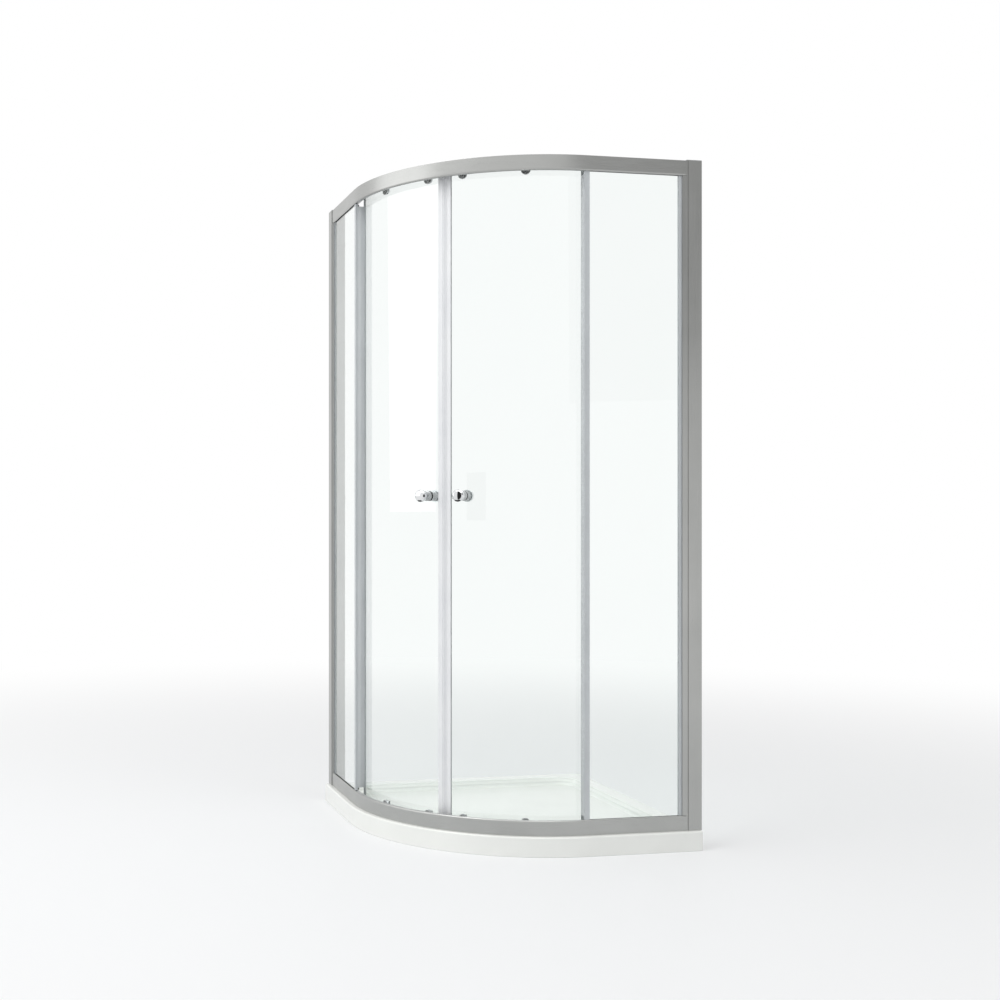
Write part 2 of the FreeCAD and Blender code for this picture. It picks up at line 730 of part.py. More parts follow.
def carrier_nut():
    """Domed nut inside the shower with the stud that clamps the carrier."""
    seat = door_in - 0.4
    top = seat - nut_thick
    corners = [(top, 0), (top, nut_radius - 4), (top + 2.5, nut_radius - 1), (seat - 1.5, nut_radius),
               (seat, nut_radius), (seat, 0)]
    dome = turned(corners, 0, carrier_level)
    stud = rod(carrier_stud, seat - 1, door_out + face_gap + 1.0, 0, carrier_level)
    return upside(dome.fuse(stud).removeSplitter())


def wheel():
    """Grooved wheel: the tread is wide enough to stay on the bead past the arc's end."""
    bore = axle_radius + axle_fit
    corners = [(wheel_in, bore), (wheel_in, wheel_radius), (wheel_in + wheel_flange, wheel_radius),
               (wheel_in + wheel_flange, wheel_tread), (wheel_out - wheel_flange, wheel_tread),
               (wheel_out - wheel_flange, wheel_radius), (wheel_out, wheel_radius), (wheel_out, bore)]
    return turned(corners, 0, wheel_level)


def slot_void(r0, r1):
    """The upright slot in a lower guide that the slider's shank travels in."""
    return box(r0, r1, -slot_half, slot_half, spring_foot, slot_top)


def lower_guide():
    """Slotted bush in the glass and the ring that holds it from the inside."""
    base = door_out + face_gap
    inn = door_in - 0.4
    disc = rod(guide_disc, base, base + guide_flange, 0, guide_level)
    sleeve = rod(guide_sleeve, inn - 2.0, base, 0, guide_level)
    bush = fused([disc, sleeve]).cut(slot_void(inn - 4, base + 5))
    ring = rod(guide_disc, inn - 2.6, inn, 0, guide_level)
    ring = ring.cut(rod(guide_sleeve, inn - 5, inn + 1, 0, guide_level))
    return bush, ring


def lower_slider():
    """Release slider: button inside, shank through the guide, arm and axle outside."""
    arm_out = wheel_in - seat_gap
    arm_in = arm_out - arm_plate
    inner_face = door_in - 0.4 - 2.6 - seat_gap
    shank = rod(slider_shank, inner_face - 2, arm_in + 0.5, 0, slider_level)
    stem = box(arm_in, arm_out, -slider_arm, slider_arm, wheel_level, slider_level)
    ends = [rod(slider_arm, arm_in, arm_out, 0, z) for z in (wheel_level, slider_level)]
    arm = fused([stem, shank] + ends).cut(rod(axle_radius, arm_in - 1, arm_out + 1, 0, wheel_level))
    middle = slider_level - button_drop
    button = box(inner_face - button_thick, inner_face, -button_wide / 2, button_wide / 2,
                 middle - button_tall / 2, middle + button_tall / 2)
    hollow = point(inner_face - button_thick - 27.5, -button_wide / 2 - 1, middle + 2)
    scoop = Part.makeCylinder(30, button_wide + 2, hollow, ALONG)
    button = button.cut(scoop).cut(rod(slider_shank, inner_face - 2, inner_face + 1, 0, slider_level))
    head = wheel_out + seat_gap
    pin = rod(axle_radius, arm_in, head, 0, wheel_level)
    pin = pin.fuse(rod(axle_head, head, head + axle_head_thick, 0, wheel_level)).removeSplitter()
    return [arm, button, pin]


def release_spring():
    """Folded strip under the shank that pushes the slider up."""
    rise = slider_level - slider_shank - spring_foot
    wide = slider_shank - 0.3
    folds = 4
    step = (rise - spring_strip) / folds
    legs = []
    for n in range(folds):
        side = (-wide, wide)[n % 2]
        z0 = spring_foot + n * step
        z1 = z0 + step
        corners = [(side, z0), (-side, z1), (-side, z1 + spring_strip), (side, z0 + spring_strip)]
        points = [point(door_in, s, z) for s, z in corners]
        face = Part.Face(Part.makePolygon(points + points[:1]))
        legs.append(face.extrude(point(door_glass_thick, 0, 0)))
    return fused(legs)


# ---------------------------------------------------------------- knobs
def knob(seat, way):
    """Turned knob standing off the glass; way is +1 outside and -1 inside."""
    front = knob_reach
    back = front - knob_cap_thick
    profile = [(knob_washer, 0), (knob_washer, knob_drum)]
    for start in knob_grooves:
        floor = knob_drum - knob_groove_deep
        end = start + knob_groove_wide
        profile += [(start, knob_drum), (start, floor), (end, floor), (end, knob_drum)]
    profile += [(back, knob_drum), (back, knob_cap), (front - 4, knob_cap), (front, knob_cap - 5), (front, 0)]
    corners = [(seat + way * r, radius) for r, radius in profile]
    return turned(corners, 0, knob_level)


def knob_fittings():
    """A washer on each face of the glass and the stud that draws the knobs together."""
    washers = []
    for r0, r1 in ((door_in - knob_washer, door_in - 0.3), (door_out + face_gap, door_out + knob_washer)):
        ring = rod(knob_drum, r0, r1, 0, knob_level)
        washers.append(ring.cut(rod(knob_stud, r0 - 1, r1 + 1, 0, knob_level)))
    stud = rod(knob_stud, door_in - knob_washer, door_out + knob_washer, 0, knob_level)
    return washers + [stud]


# ---------------------------------------------------------------- write the nodes
os.makedirs("parts", exist_ok=True)

waste_body, waste_nut, waste_seals, waste_lid = waste_parts()
write("shower_tray", [shower_tray()])
write("waste_body", [waste_body])
write("waste_nut", [waste_nut])
write("waste_seals", waste_seals)
write("waste_cover", [waste_lid])

write("bottom_rail", [bottom_rail()])
write("top_rail", [top_rail()])
write("infill_strips", infill_strips())
write("rail_end_screws", rail_end_screws())
write_sides("wall_profile", [wall_profile()])
write_sides("side_profile", [side_profile()])
write("fixing_screws", fixing_screws())
write("fixing_screw_caps", fixing_caps())
write("profile_caps", profile_caps())

write_sides("fixed_glass", [fixed_glass()])
write("edge_gaskets", edge_gaskets())
write("rail_gaskets", rail_gaskets())
write("setting_blocks", setting_blocks())
write_sides("panel_seal", [panel_seal()])
write("roller_stops", roller_stops())

stations = (("near", roller_near), ("far", roller_far))
write_sides("door_glass", [door_glass()])
write_sides("meeting_seal", meeting_seal())
write_sides("trailing_seal", [trailing_seal()])
write_sides("upper_carriers", [on_door(carrier(), phi) for label, phi in stations])
write_sides("upper_axles", [on_door(carrier_axle(), phi) for label, phi in stations])
write_sides("carrier_nuts", [on_door(carrier_nut(), phi) for label, phi in stations])
write_sides("lower_guides", [on_door(shape, phi) for label, phi in stations for shape in lower_guide()])
for label, phi in stations:
    write_sides("upper_wheel_" + label, [on_door(upside(wheel()), phi)])
    write_sides("lower_wheel_" + label, [on_door(wheel(), phi)])
    write_sides("lower_slider_" + label, [on_door(shape, phi) for shape in lower_slider()])
    write_sides("release_spring_" + label, [on_door(release_spring(), phi)])

write_sides("knob_outer", [on_door(knob(door_out, 1), roller_near)])
write_sides("knob_inner", [on_door(knob(door_in, -1), roller_near)])
write_sides("knob_fittings", [on_door(shape, roller_near) for shape in knob_fittings()])
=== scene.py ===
# %% [markdown]
# # A quadrant shower enclosure
#
# Two flat fixed panes and two curved doors stand on a low white tray. Satin
# aluminium rails run round the top and the bottom, and the doors hang in them on
# grooved wheels. This lesson dresses the engineering model: it keeps every size
# and every moving body, and gives each piece the shape and finish seen on the
# real object.

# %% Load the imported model
import bmesh
import bpy
import json
from math import cos, degrees, pi, radians, sin, sqrt
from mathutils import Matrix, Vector

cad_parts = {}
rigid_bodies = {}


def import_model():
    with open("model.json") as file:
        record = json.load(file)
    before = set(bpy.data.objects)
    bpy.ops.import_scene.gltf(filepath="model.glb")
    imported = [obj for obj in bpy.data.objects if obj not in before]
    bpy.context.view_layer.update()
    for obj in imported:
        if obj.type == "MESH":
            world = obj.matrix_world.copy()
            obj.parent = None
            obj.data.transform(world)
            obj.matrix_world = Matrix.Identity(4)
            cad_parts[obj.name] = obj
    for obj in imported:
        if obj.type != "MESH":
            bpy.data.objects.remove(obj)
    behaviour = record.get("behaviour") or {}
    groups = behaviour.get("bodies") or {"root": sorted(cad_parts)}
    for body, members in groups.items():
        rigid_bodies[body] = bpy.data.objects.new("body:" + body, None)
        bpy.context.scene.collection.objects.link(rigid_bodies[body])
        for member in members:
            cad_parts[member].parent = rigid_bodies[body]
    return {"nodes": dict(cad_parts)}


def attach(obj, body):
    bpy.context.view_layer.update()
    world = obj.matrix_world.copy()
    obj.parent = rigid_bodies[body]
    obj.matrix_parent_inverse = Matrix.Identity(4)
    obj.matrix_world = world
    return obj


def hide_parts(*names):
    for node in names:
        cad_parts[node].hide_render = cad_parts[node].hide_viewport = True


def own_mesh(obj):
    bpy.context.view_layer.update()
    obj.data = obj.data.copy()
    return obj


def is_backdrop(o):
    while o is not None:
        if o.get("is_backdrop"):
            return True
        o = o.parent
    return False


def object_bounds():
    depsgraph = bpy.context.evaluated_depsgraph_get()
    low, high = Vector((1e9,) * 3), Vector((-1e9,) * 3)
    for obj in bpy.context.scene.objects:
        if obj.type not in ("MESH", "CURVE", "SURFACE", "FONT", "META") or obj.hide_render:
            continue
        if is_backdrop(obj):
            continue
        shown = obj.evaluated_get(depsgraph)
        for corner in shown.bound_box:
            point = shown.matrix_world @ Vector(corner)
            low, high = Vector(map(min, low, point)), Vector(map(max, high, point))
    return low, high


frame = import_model()
cad_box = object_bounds()
scene = bpy.context.scene
in_scene = scene.collection.objects

# %% [markdown]
# ## Sizes
#
# The enclosure is described round the centre of its arc. A place has three
# numbers: how far outward it is, how far along the flat side, and how high above
# the tray's rim. The right-hand side is built and the left is its mirror in the
# plane X = Y, so each size is written once. Everything is in metres.

# %% Sizes of the frame, the glass and the rollers
sides = ("right", "left")
half, centre = 0.45, 0.1  # half the tray's side, the arc's centre
tray_radius, tray_top, frame_height = 0.55, 0.056, 1.9
to_wall = half - centre
rail_height, wall = 0.043, 0.0018  # wall is the extrusions' thickness
face_r, inner_r, track_r = 0.535, 0.488, 0.511  # the rails' outer and inner face and bead
bead_tip, arm_level = 0.0283, 0.0328
slot_out, slot_in = face_r - wall, 0.5216  # glazing slot
web_in = slot_in - wall
fixed_out, fixed_in = 0.5295, 0.5245  # fixed glass
door_out, door_in = 0.5, 0.495  # curved glass
wheel_in, wheel_out = 0.5051, 0.5169
wheel_level, wheel_radius, wheel_tread = 0.0185, 0.0115, 0.0095
carrier_level, slider_level, guide_level = 0.035, 0.0343, 0.03065
roller_reach = 0.0485
stations = {"near": 6.4, "far": 27.0}  # degrees from the doors' meeting line
door_first, door_last = degrees(0.009 / 0.4975), 46.3
knob_level, profile_r, wall_profile_reach = 0.95, 0.4872, 0.0406
side_face = to_wall - 0.0466
glass_back = side_face - 0.0015  # the fixed glass's edge at the wall
print("rails span", round(2 * side_face + face_r * pi / 2, 3), "m along their face")

# %% [markdown]
# ## The camera
#
# The photograph shows upright lines as parallel, so the camera is level and the
# picture is framed by shifting the lens. Place, turn and focal length come from
# fitting the rails' known curve to the photograph.

# %% Camera
eye = Vector((-1.4551, -4.1049, 0.9566))
heading = 0.1993
lens_data = bpy.data.cameras.new("camera")
lens_data.lens, lens_data.shift_x, lens_data.shift_y = 50.36, 0.2, 0.013
camera = bpy.data.objects.new("camera", lens_data)
camera.location = eye
camera.rotation_euler = (pi / 2, 0.0, -heading)
in_scene.link(camera)
scene.camera = camera
print("camera at", tuple(round(v, 2) for v in eye))

# %% [markdown]
# ## Light and floor
#
# A plain pale studio. One helper makes a node and fills its inputs, with values
# or with links, so a whole tree reads as a few calls. The world is white to the
# eye, and weaker where it lights matt surfaces.

# %% Node helpers and the world
def feed(tree, value, socket):
    """A link from a node or from one of its outputs, otherwise a plain value."""
    if isinstance(value, bpy.types.Node):
        value = value.outputs[0]
    if isinstance(value, bpy.types.NodeSocket):
        tree.links.new(value, socket)
    elif value is not None:
        socket.default_value = value


def add_node(tree, kind, inputs=None, **settings):
    """A new node with its inputs filled. A short kind is a shader node's."""
    made = tree.nodes.new(kind if "Node" in kind else "ShaderNode" + kind)
    for name, value in settings.items():
        setattr(made, name, value)
    for name, value in (inputs or {}).items():
        feed(tree, value, made.inputs[name])
    return made


def math_node(tree, operation, a, b=None):
    return add_node(tree, "Math", {0: a, 1: b}, operation=operation)


def spread(tree, value, low, high, start=0.3, end=0.7, **settings):
    """A value from start to end, which is what noise gives, becomes low to high."""
    span = {"Value": value, "From Min": start, "From Max": end, "To Min": low, "To Max": high}
    return add_node(tree, "MapRange", span, **settings)


def seen_directly(tree):
    """One for rays from the camera, and for reflected and refracted rays."""
    rays = add_node(tree, "LightPath").outputs
    bounced = math_node(tree, "MAXIMUM", rays["Is Glossy Ray"], rays["Is Transmission Ray"])
    return math_node(tree, "MAXIMUM", rays["Is Camera Ray"], bounced)


fill_light = 0.6  # what matt surfaces get from the world
world = bpy.data.worlds.new("studio")
world.use_nodes = True
scene.world = world
sky = world.node_tree
sky.nodes.clear()
level = spread(sky, seen_directly(sky), fill_light, 1.0, 0.0, 1.0)
plain = add_node(sky, "Background", {"Color": (1.0, 1.0, 1.0, 1.0), "Strength": level})
add_node(sky, "OutputWorld", {"Surface": plain})
print("world nodes", len(sky.nodes))

# %% [markdown]
# A low soft lamp stands on the left and two hang high. Metal and glass see a
# white room, so four grey cards, which only reflections see, give them the
# darker parts that make metal read as metal: a large one on the right, and
# three small ones close to the knobs.

# %% Lamps and cards
def aimed(obj, place, target):
    obj.location = place
    obj.rotation_euler = (Vector(target) - Vector(place)).to_track_quat("-Z", "Y").to_euler()
    in_scene.link(obj)
    return obj


def soft_lamp(name, place, target, size, watts):
    data = bpy.data.lights.new(name, "AREA")
    data.shape = "RECTANGLE"
    data.size, data.size_y = size
    data.energy = watts
    aimed(bpy.data.objects.new(name, data), place, target)


def new_coat(name):
    coat = bpy.data.materials.new(name)
    coat.use_nodes = True
    coat.node_tree.nodes.clear()
    return coat, coat.node_tree


def flat_sheet(name, wide, high, coat):
    w, h = wide / 2, high / 2
    mesh = bpy.data.meshes.new(name)
    mesh.from_pydata([(-w, -h, 0), (w, -h, 0), (w, h, 0), (-w, h, 0)], [], [(0, 1, 2, 3)])
    mesh.materials.append(coat)
    return bpy.data.objects.new(name, mesh)


def card(name, place, target, size, grey):
    """A grey card that only reflections see."""
    coat, tree = new_coat(name)
    glow = add_node(tree, "Emission", {"Color": (grey, grey, grey, 1.0)})
    add_node(tree, "OutputMaterial", {"Surface": glow})
    board = aimed(flat_sheet(name, *size, coat), place, target)
    for rays in ("camera", "diffuse", "transmission", "shadow"):
        setattr(board, "visible_" + rays, False)
    board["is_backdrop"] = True


tray_middle = (0.0, -0.1, 0.3)
soft_lamp("key", (-3.95, 0.6, 2.2), (-0.3, -0.1, 1.0), (3.4, 2.6), 25.0)
soft_lamp("left_high", (-3.0, -1.2, 5.0), tray_middle, (3.0, 3.0), 96.0)
soft_lamp("front_high", (0.3, -2.4, 5.2), tray_middle, (3.0, 3.0), 45.0)
mid_grey, near_black = 0.47, 0.03
card("card_right", (2.35, -4.4, 2.9), (0.3, -0.43, 1.6), (2.6, 2.6), mid_grey)
card("card_knobs", (-0.325, -0.4385, 1.006), (-0.2406, -0.3267, 1.006), (0.102, 0.143), near_black)
for tag, x, y, width in (("right", -0.255, -0.315, 0.06), ("left", -0.348, -0.213, 0.07)):
    card("card_below_" + tag, (x, y, 0.956), (x, y, 1.006), (width, width), near_black)
print("lamps", len(bpy.data.lights))

# %% [markdown]
# The floor is matt and takes the object's shadow. Away from the object it turns
# into the white of the world, so that no horizon shows.

# %% Floor
floor_width = 60.0
floor_coat, ground = new_coat("floor")
matt = add_node(ground, "BsdfPrincipled",
                {"Base Color": (0.84, 0.85, 0.86, 1.0), "Roughness": 0.6})
where = add_node(ground, "TexCoord").outputs["Object"]
distance = add_node(ground, "VectorMath", {0: where}, operation="LENGTH").outputs["Value"]
fade = spread(ground, distance, 0.25, 1.0, 0.7, 5.0, interpolation_type="SMOOTHSTEP")
share = math_node(ground, "MULTIPLY", fade, seen_directly(ground))
white = add_node(ground, "Emission")
blend = add_node(ground, "MixShader", {0: share, 1: matt, 2: white})
add_node(ground, "OutputMaterial", {"Surface": blend})
floor = flat_sheet("floor", floor_width, floor_width, floor_coat)
in_scene.link(floor)
floor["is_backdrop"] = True
scene.view_settings.view_transform = "Standard"
print("floor", floor_width, "m wide")

# %% [markdown]
# ## Finishes
#
# Each finish is a node tree that reads Object coordinates, so its grain has a
# real size in metres. A fine pattern moves the roughness and can raise a faint
# relief, and the tone drifts with the same pattern or with a broad haze.

# %% Finish helpers
def pattern(tree, scale, stretch=(1.0, 1.0, 1.0), detail=3.0):
    """Noise whose grains are about 1/scale metres, longer where stretch is small."""
    place = add_node(tree, "TexCoord").outputs["Object"]
    turn = add_node(tree, "Mapping", {"Vector": place, "Scale": stretch})
    return add_node(tree, "TexNoise", {"Vector": turn, "Scale": scale, "Detail": detail})


def mixed(tree, factor, first, second):
    inputs = {"Factor": factor, "A": first, "B": second}
    return add_node(tree, "Mix", inputs, data_type="RGBA").outputs["Result"]


def surface(name, slot_name, dark, light, rough, grain, haze=None, bump=None, inputs=None,
            stretch=(1.0, 1.0, 1.0), detail=3.0):
    """A finish; bump is (depth in metres, strength), inputs are the shader's own."""
    coat, tree = new_coat(name)
    shader = add_node(tree, "BsdfPrincipled", inputs)
    fine = pattern(tree, grain, stretch, detail)
    drift = spread(tree, pattern(tree, haze) if haze else fine, 0.0, 1.0)
    feed(tree, mixed(tree, drift, (*dark, 1.0), (*light, 1.0)), shader.inputs["Base Color"])
    feed(tree, spread(tree, fine, *rough), shader.inputs["Roughness"])
    if bump:
        given = {"Distance": bump[0], "Strength": bump[1], "Height": fine}
        feed(tree, add_node(tree, "Bump", given), shader.inputs["Normal"])
    add_node(tree, "OutputMaterial", {"Surface": shader})
    return coat


# %% [markdown]
# Satin anodised aluminium is extruded, then etched: faint die lines run along
# each bar under an even, fine-grained satin. The lines follow the bar, so rails
# and uprights each get their own direction.

# %% Satin aluminium
def metal(*args, **more):
    return surface(*args, inputs={"Metallic": 1.0}, **more)


rail_satin, upright_satin = (
    metal(name, "aluminium", (0.40, 0.405, 0.395), (0.44, 0.445, 0.435), (0.27, 0.37), 900.0,
          haze=6.0, bump=(0.00002, 0.25), stretch=stretch, detail=2.0)
    for name, stretch in (("satin_rail", (0.01, 0.01, 1.0)), ("satin_upright", (1.0, 1.0, 0.004))))
print("finish", rail_satin.name, upright_satin.name)

# %% [markdown]
# Chrome is mirror metal with a cool tint. It is never perfectly clean, so a soft
# cloud pattern lifts its roughness a little. On a knob's grooved drum, marked by
# a point attribute, it is rougher, as on a grooved grip, and its colour is painted
# darker: painted shade that stands in for the drum's dark reflections.

# %% Chrome and steel
chrome = metal("mirror_chrome", "chrome", (0.71, 0.72, 0.73), (0.77, 0.78, 0.79), (0.03, 0.08),
               60.0)
chrome_tree = chrome.node_tree
chrome_shader = chrome_tree.nodes["Principled BSDF"]
# The drum's mark makes the chrome rougher and paints its colour darker: painted shade for the dark
# reflections in the grooves.
ribbed = add_node(chrome_tree, "Attribute", attribute_name="ribbed").outputs["Fac"]
for socket, dull_and_painted_dark in (("Base Color", (0.42, 0.43, 0.44, 1.0)), ("Roughness", (0.2, 0.2, 0.2, 1.0))):
    polished = chrome_shader.inputs[socket].links[0].from_socket
    feed(chrome_tree, mixed(chrome_tree, ribbed, polished, dull_and_painted_dark), chrome_shader.inputs[socket])
steel = metal("bright_steel", "steel", (0.46, 0.46, 0.46), (0.58, 0.58, 0.57), (0.22, 0.4), 500.0,
              bump=(0.00003, 0.5))
hardware_grey = metal("hardware_grey", "grey_plastic", (0.58, 0.59, 0.6), (0.66, 0.67, 0.68),
                      (0.22, 0.34), 300.0)
print("finish", chrome.name, steel.name, hardware_grey.name)

# %% [markdown]
# The tray is gloss acrylic on a stone core: a clean warm white with a soft
# mirror and the slightest ripple. The small mouldings share its recipe with
# less gloss, and the outer seals are milky plastic that is partly see-through.

# %% Plastics and rubber
def moulded(name, slot_name, dark, light, rough, grain, depth, inputs=None):
    return surface(name, slot_name, dark, light, rough, grain, 9.0, (depth, 0.4), inputs)


tray_white = moulded("tray_white", "tray", (0.86, 0.87, 0.84), (0.89, 0.9, 0.87), (0.16, 0.24),
                     120.0, 0.00006, {"Coat Weight": 0.35, "Coat Roughness": 0.06})
grey_plastic = moulded("satin_grey_plastic", "grey_plastic", (0.36, 0.37, 0.37),
                       (0.42, 0.43, 0.43), (0.34, 0.5), 1400.0, 0.00003)
white_plastic = moulded("satin_white_plastic", "white_plastic", (0.8, 0.8, 0.79),
                        (0.86, 0.86, 0.85), (0.3, 0.42), 900.0, 0.00002)
wheel_plastic = moulded("acetal", "wheel_plastic", (0.72, 0.72, 0.7), (0.8, 0.8, 0.78),
                        (0.2, 0.32), 600.0, 0.00001)
rubber = moulded("black_rubber", "rubber", (0.02, 0.02, 0.021), (0.035, 0.035, 0.036), (0.5, 0.7),
                 1500.0, 0.00003)
clear_seal = moulded("milky_seal", "clear_seal", (0.65, 0.68, 0.7), (0.7, 0.73, 0.75), (0.2, 0.32),
                     400.0, 0.00001, {"Alpha": 0.72})
white_seal = moulded("white_seal", "clear_seal", (0.78, 0.79, 0.81), (0.83, 0.84, 0.85),
                     (0.22, 0.34), 500.0, 0.00001, {"Coat Weight": 0.2, "Coat Roughness": 0.06})
print("finish", tray_white.name, grey_plastic.name, rubber.name, clear_seal.name, white_seal.name)

# %% [markdown]
# Tempered glass is clear with a breath of green. Light that runs along the sheet
# meets far more of that green, which is why the edges show it. Lamps reach
# through the pane by a transparent stand-in for shadow rays.

# %% Glass
glass = surface("tempered_glass", "glass", (0.935, 0.965, 0.955), (0.941, 0.971, 0.961),
                (0.0, 0.012), 90.0, haze=5.0, inputs={"IOR": 1.5, "Transmission Weight": 1.0})
glass_tree = glass.node_tree
shadow_ray = add_node(glass_tree, "LightPath").outputs["Is Shadow Ray"]
clear = add_node(glass_tree, "BsdfTransparent", {"Color": (0.92, 0.95, 0.94, 1.0)})
either = add_node(glass_tree, "MixShader",
                  {0: shadow_ray, 1: glass_tree.nodes["Principled BSDF"], 2: clear})
feed(glass_tree, either, glass_tree.nodes["Material Output"].inputs["Surface"])
print("finish", glass.name)

# %% [markdown]
# ## Making and placing meshes
#
# A piece is a list of closed shells. Left-hand pieces are the right-hand ones
# with X and Y exchanged.

# %% Places
def at_angle(angle, middle=(centre, centre), base=tray_top):
    """Places at an angle of the plan: r outward, s along and z above a base."""
    a = radians(angle)
    return lambda r, s, z: Vector((middle[0] + r * cos(a) - s * sin(a),
                                   middle[1] + r * sin(a) + s * cos(a), base + z))


def standing(x, y):
    """Places for a lathe whose axis stands upright at x and y."""
    return lambda r, s, z: Vector((x + s, y + z, r))


def door_place(phi):
    return at_angle(225.0 + phi)


def upside(place):
    """The same place counted down from the top of the frame."""
    return lambda r, s, z: place(r, s, frame_height - z)


def swapped(v):
    return Vector((v.y, v.x, v.z))


def mirror_shells(shells):
    return [([swapped(v) for v in verts], [tuple(reversed(f)) for f in faces])
            for verts, faces in shells]


side_place = at_angle(270.0)
print("flat side starts at", side_place(face_r, 0.0, 0.0))


# %% Meshes and pieces
def reworked(mesh, change):
    """Opens a mesh for bmesh operations and writes it back."""
    work = bmesh.new()
    work.from_mesh(mesh)
    change(work)
    work.to_mesh(mesh)
    work.free()


def face_outward(work):
    bmesh.ops.recalc_face_normals(work, faces=work.faces)


def modified(obj, kind, given=(), **settings):
    """The plain mesh that a modifier makes of an object. The modifier goes."""
    modifier = obj.modifiers.new("change", kind)
    for name, value in settings.items():
        setattr(modifier, name, value)
    for key, value in given:
        modifier[key] = value
    graph = bpy.context.evaluated_depsgraph_get()
    mesh = bpy.data.meshes.new_from_object(obj.evaluated_get(graph), depsgraph=graph)
    obj.modifiers.remove(modifier)
    return mesh


def shaped(name, shells):
    """A new object made of shells."""
    verts, faces = [], []
    for shell_verts, shell_faces in shells:
        base = len(verts)
        verts += [tuple(v) for v in shell_verts]
        faces += [tuple(i + base for i in face) for face in shell_faces]
    mesh = bpy.data.meshes.new(name)
    mesh.from_pydata(verts, [], faces)
    reworked(mesh, face_outward)
    return bpy.data.objects.new(name, mesh)


def show(obj, body, finish, nodes=(), sharp=32.0, slot_name=None):
    """Weighted normals let large faces keep their own direction, so that only the
    small round edges shade softly."""
    mesh = obj.data
    if finish.name not in mesh.materials:
        mesh.materials.clear()
        mesh.materials.append(finish)
    mesh.shade_smooth()
    mesh.set_sharp_from_angle(angle=radians(sharp))
    if obj.name not in in_scene:
        in_scene.link(obj)
    obj.data = modified(obj, "WEIGHTED_NORMAL", keep_sharp=True, weight=100)
    obj.data.name = obj.name
    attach(obj, body)
    if nodes:
        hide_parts(*nodes)
    return obj


def piece(name, shells, body, *rest, **more):
    return show(shaped(name, shells), body, *rest, **more)


def pair(stem, shells, body, finish, nodes=(), *rest, **more):
    """A right-hand piece and its mirror. Body and node names get the side's name."""
    return [piece(stem + "_" + side, some, body if body == "root" else body + "_" + side, finish,
                  [node + "_" + side for node in nodes], *rest, **more)
            for side, some in zip(sides, (shells, mirror_shells(shells)))]


# %% [markdown]
# Two ways to make a shell: an outline raised upright, and a profile turned on a
# lathe. No real edge is perfectly sharp, so outlines get small rounded corners
# before they are raised.

# %% Outlines, prisms and turned shells
def bent(start, corner, end, steps):
    """Points of a small curve from start to end that leans into the corner."""
    return [tuple(start * (1 - t) ** 2 + corner * 2 * t * (1 - t) + end * t ** 2)
            for t in (step / steps for step in range(steps + 1))]


def rounded(corners, radius, steps=3):
    """An outline whose corners are small arcs."""
    points = []
    count = len(corners)
    for i in range(count):
        before, here, after = (Vector(corners[(i + d) % count]) for d in (-1, 0, 1))
        back, on = before - here, after - here
        cut = min(radius, back.length * 0.45, on.length * 0.45)
        points += bent(here + back.normalized() * cut, here, here + on.normalized() * cut, steps)
    return points


def band(one, two, count):
    """The faces between two closed rings of points that start at one and at two."""
    return [(one + i, one + (i + 1) % count, two + (i + 1) % count, two + i)
            for i in range(count)]


def raised(points, low, high, place):
    """A plan outline of (outward, along) pairs raised from low to high."""
    count = len(points)
    verts = [place(r, s, z) for z in (low, high) for r, s in points]
    caps = [tuple(range(count)), tuple(range(2 * count - 1, count - 1, -1))]
    return verts, caps + band(0, count, count)


def upright(points, clear, place):
    """An outline raised over the frame's height, clear of its foot and its head."""
    return raised(points, clear, frame_height - clear, place)


def box_shell(place, r, s, z, radius=0.0006):
    """A block between pairs of outward, along and up values, with rounded uprights."""
    corners = [(r[0], s[0]), (r[1], s[0]), (r[1], s[1]), (r[0], s[1])]
    return raised(rounded(corners, radius), z[0], z[1], place)


def lathe(profile, place, level, steps=48):
    """A profile of (outward, radius) pairs turned about an outward axis at a level."""
    verts, faces, rings = [], [], []
    for r, radius in profile:
        if radius <= 1e-6:
            rings.append([len(verts)] * steps)
            verts.append(place(r, 0.0, level))
            continue
        rings.append(range(len(verts), len(verts) + steps))
        for i in range(steps):
            a = 2 * pi * i / steps
            verts.append(place(r, radius * cos(a), level + radius * sin(a)))
    for one, two in zip(rings, rings[1:]):
        for i in range(steps):
            j = (i + 1) % steps
            face = tuple(dict.fromkeys((one[i], one[j], two[j], two[i])))
            if len(face) > 2:
                faces.append(face)
    return verts, faces


def both_ways(near_half, low, high):
    """An outline from low to high whose far half mirrors its near half."""
    return ([(low + depth, value) for depth, value in near_half]
            + [(high - depth, value) for depth, value in reversed(near_half)])


def solid_bar(low, high, radius):
    return both_ways([(0.0, 0.0), (0.0, radius)], low, high)


print("a bar is turned from", solid_bar(0.0, 1.0, 0.5))

# %% [markdown]
# Small moulded and pressed pieces already have their exact form in the
# engineering model. A helper copies such a node, merges its loose triangles,
# joins flat neighbours and gives every edge a fine bevel that catches light.

# %% Softened copies of small nodes
def softened(node, body, finish, width=0.0003):
    def bevelled(work):
        bmesh.ops.remove_doubles(work, verts=work.verts, dist=1e-6)
        bmesh.ops.dissolve_limit(work, angle_limit=radians(1.0), verts=work.verts,
                                 edges=work.edges)
        sharp = [e for e in work.edges
                 if len(e.link_faces) == 2 and e.calc_face_angle(0.0) > radians(28)]
        bmesh.ops.bevel(work, geom=sharp, offset=width, offset_type="OFFSET", segments=2,
                        profile=0.5, affect="EDGES", clamp_overlap=True)

    mesh = frame["nodes"][node].data.copy()
    reworked(mesh, bevelled)
    if "custom_normal" in mesh.attributes:
        mesh.attributes.remove(mesh.attributes["custom_normal"])
    show(bpy.data.objects.new("soft_" + node, mesh), body, finish, [node], 40.0)


# %% [markdown]
# ## The rails
#
# Both rails are one extrusion, bent to a quarter circle with a straight run at
# each end. This is a rule, not a drawing, so Geometry Nodes makes it: a line of
# samples is moved onto the path by its length, and the section is carried along.

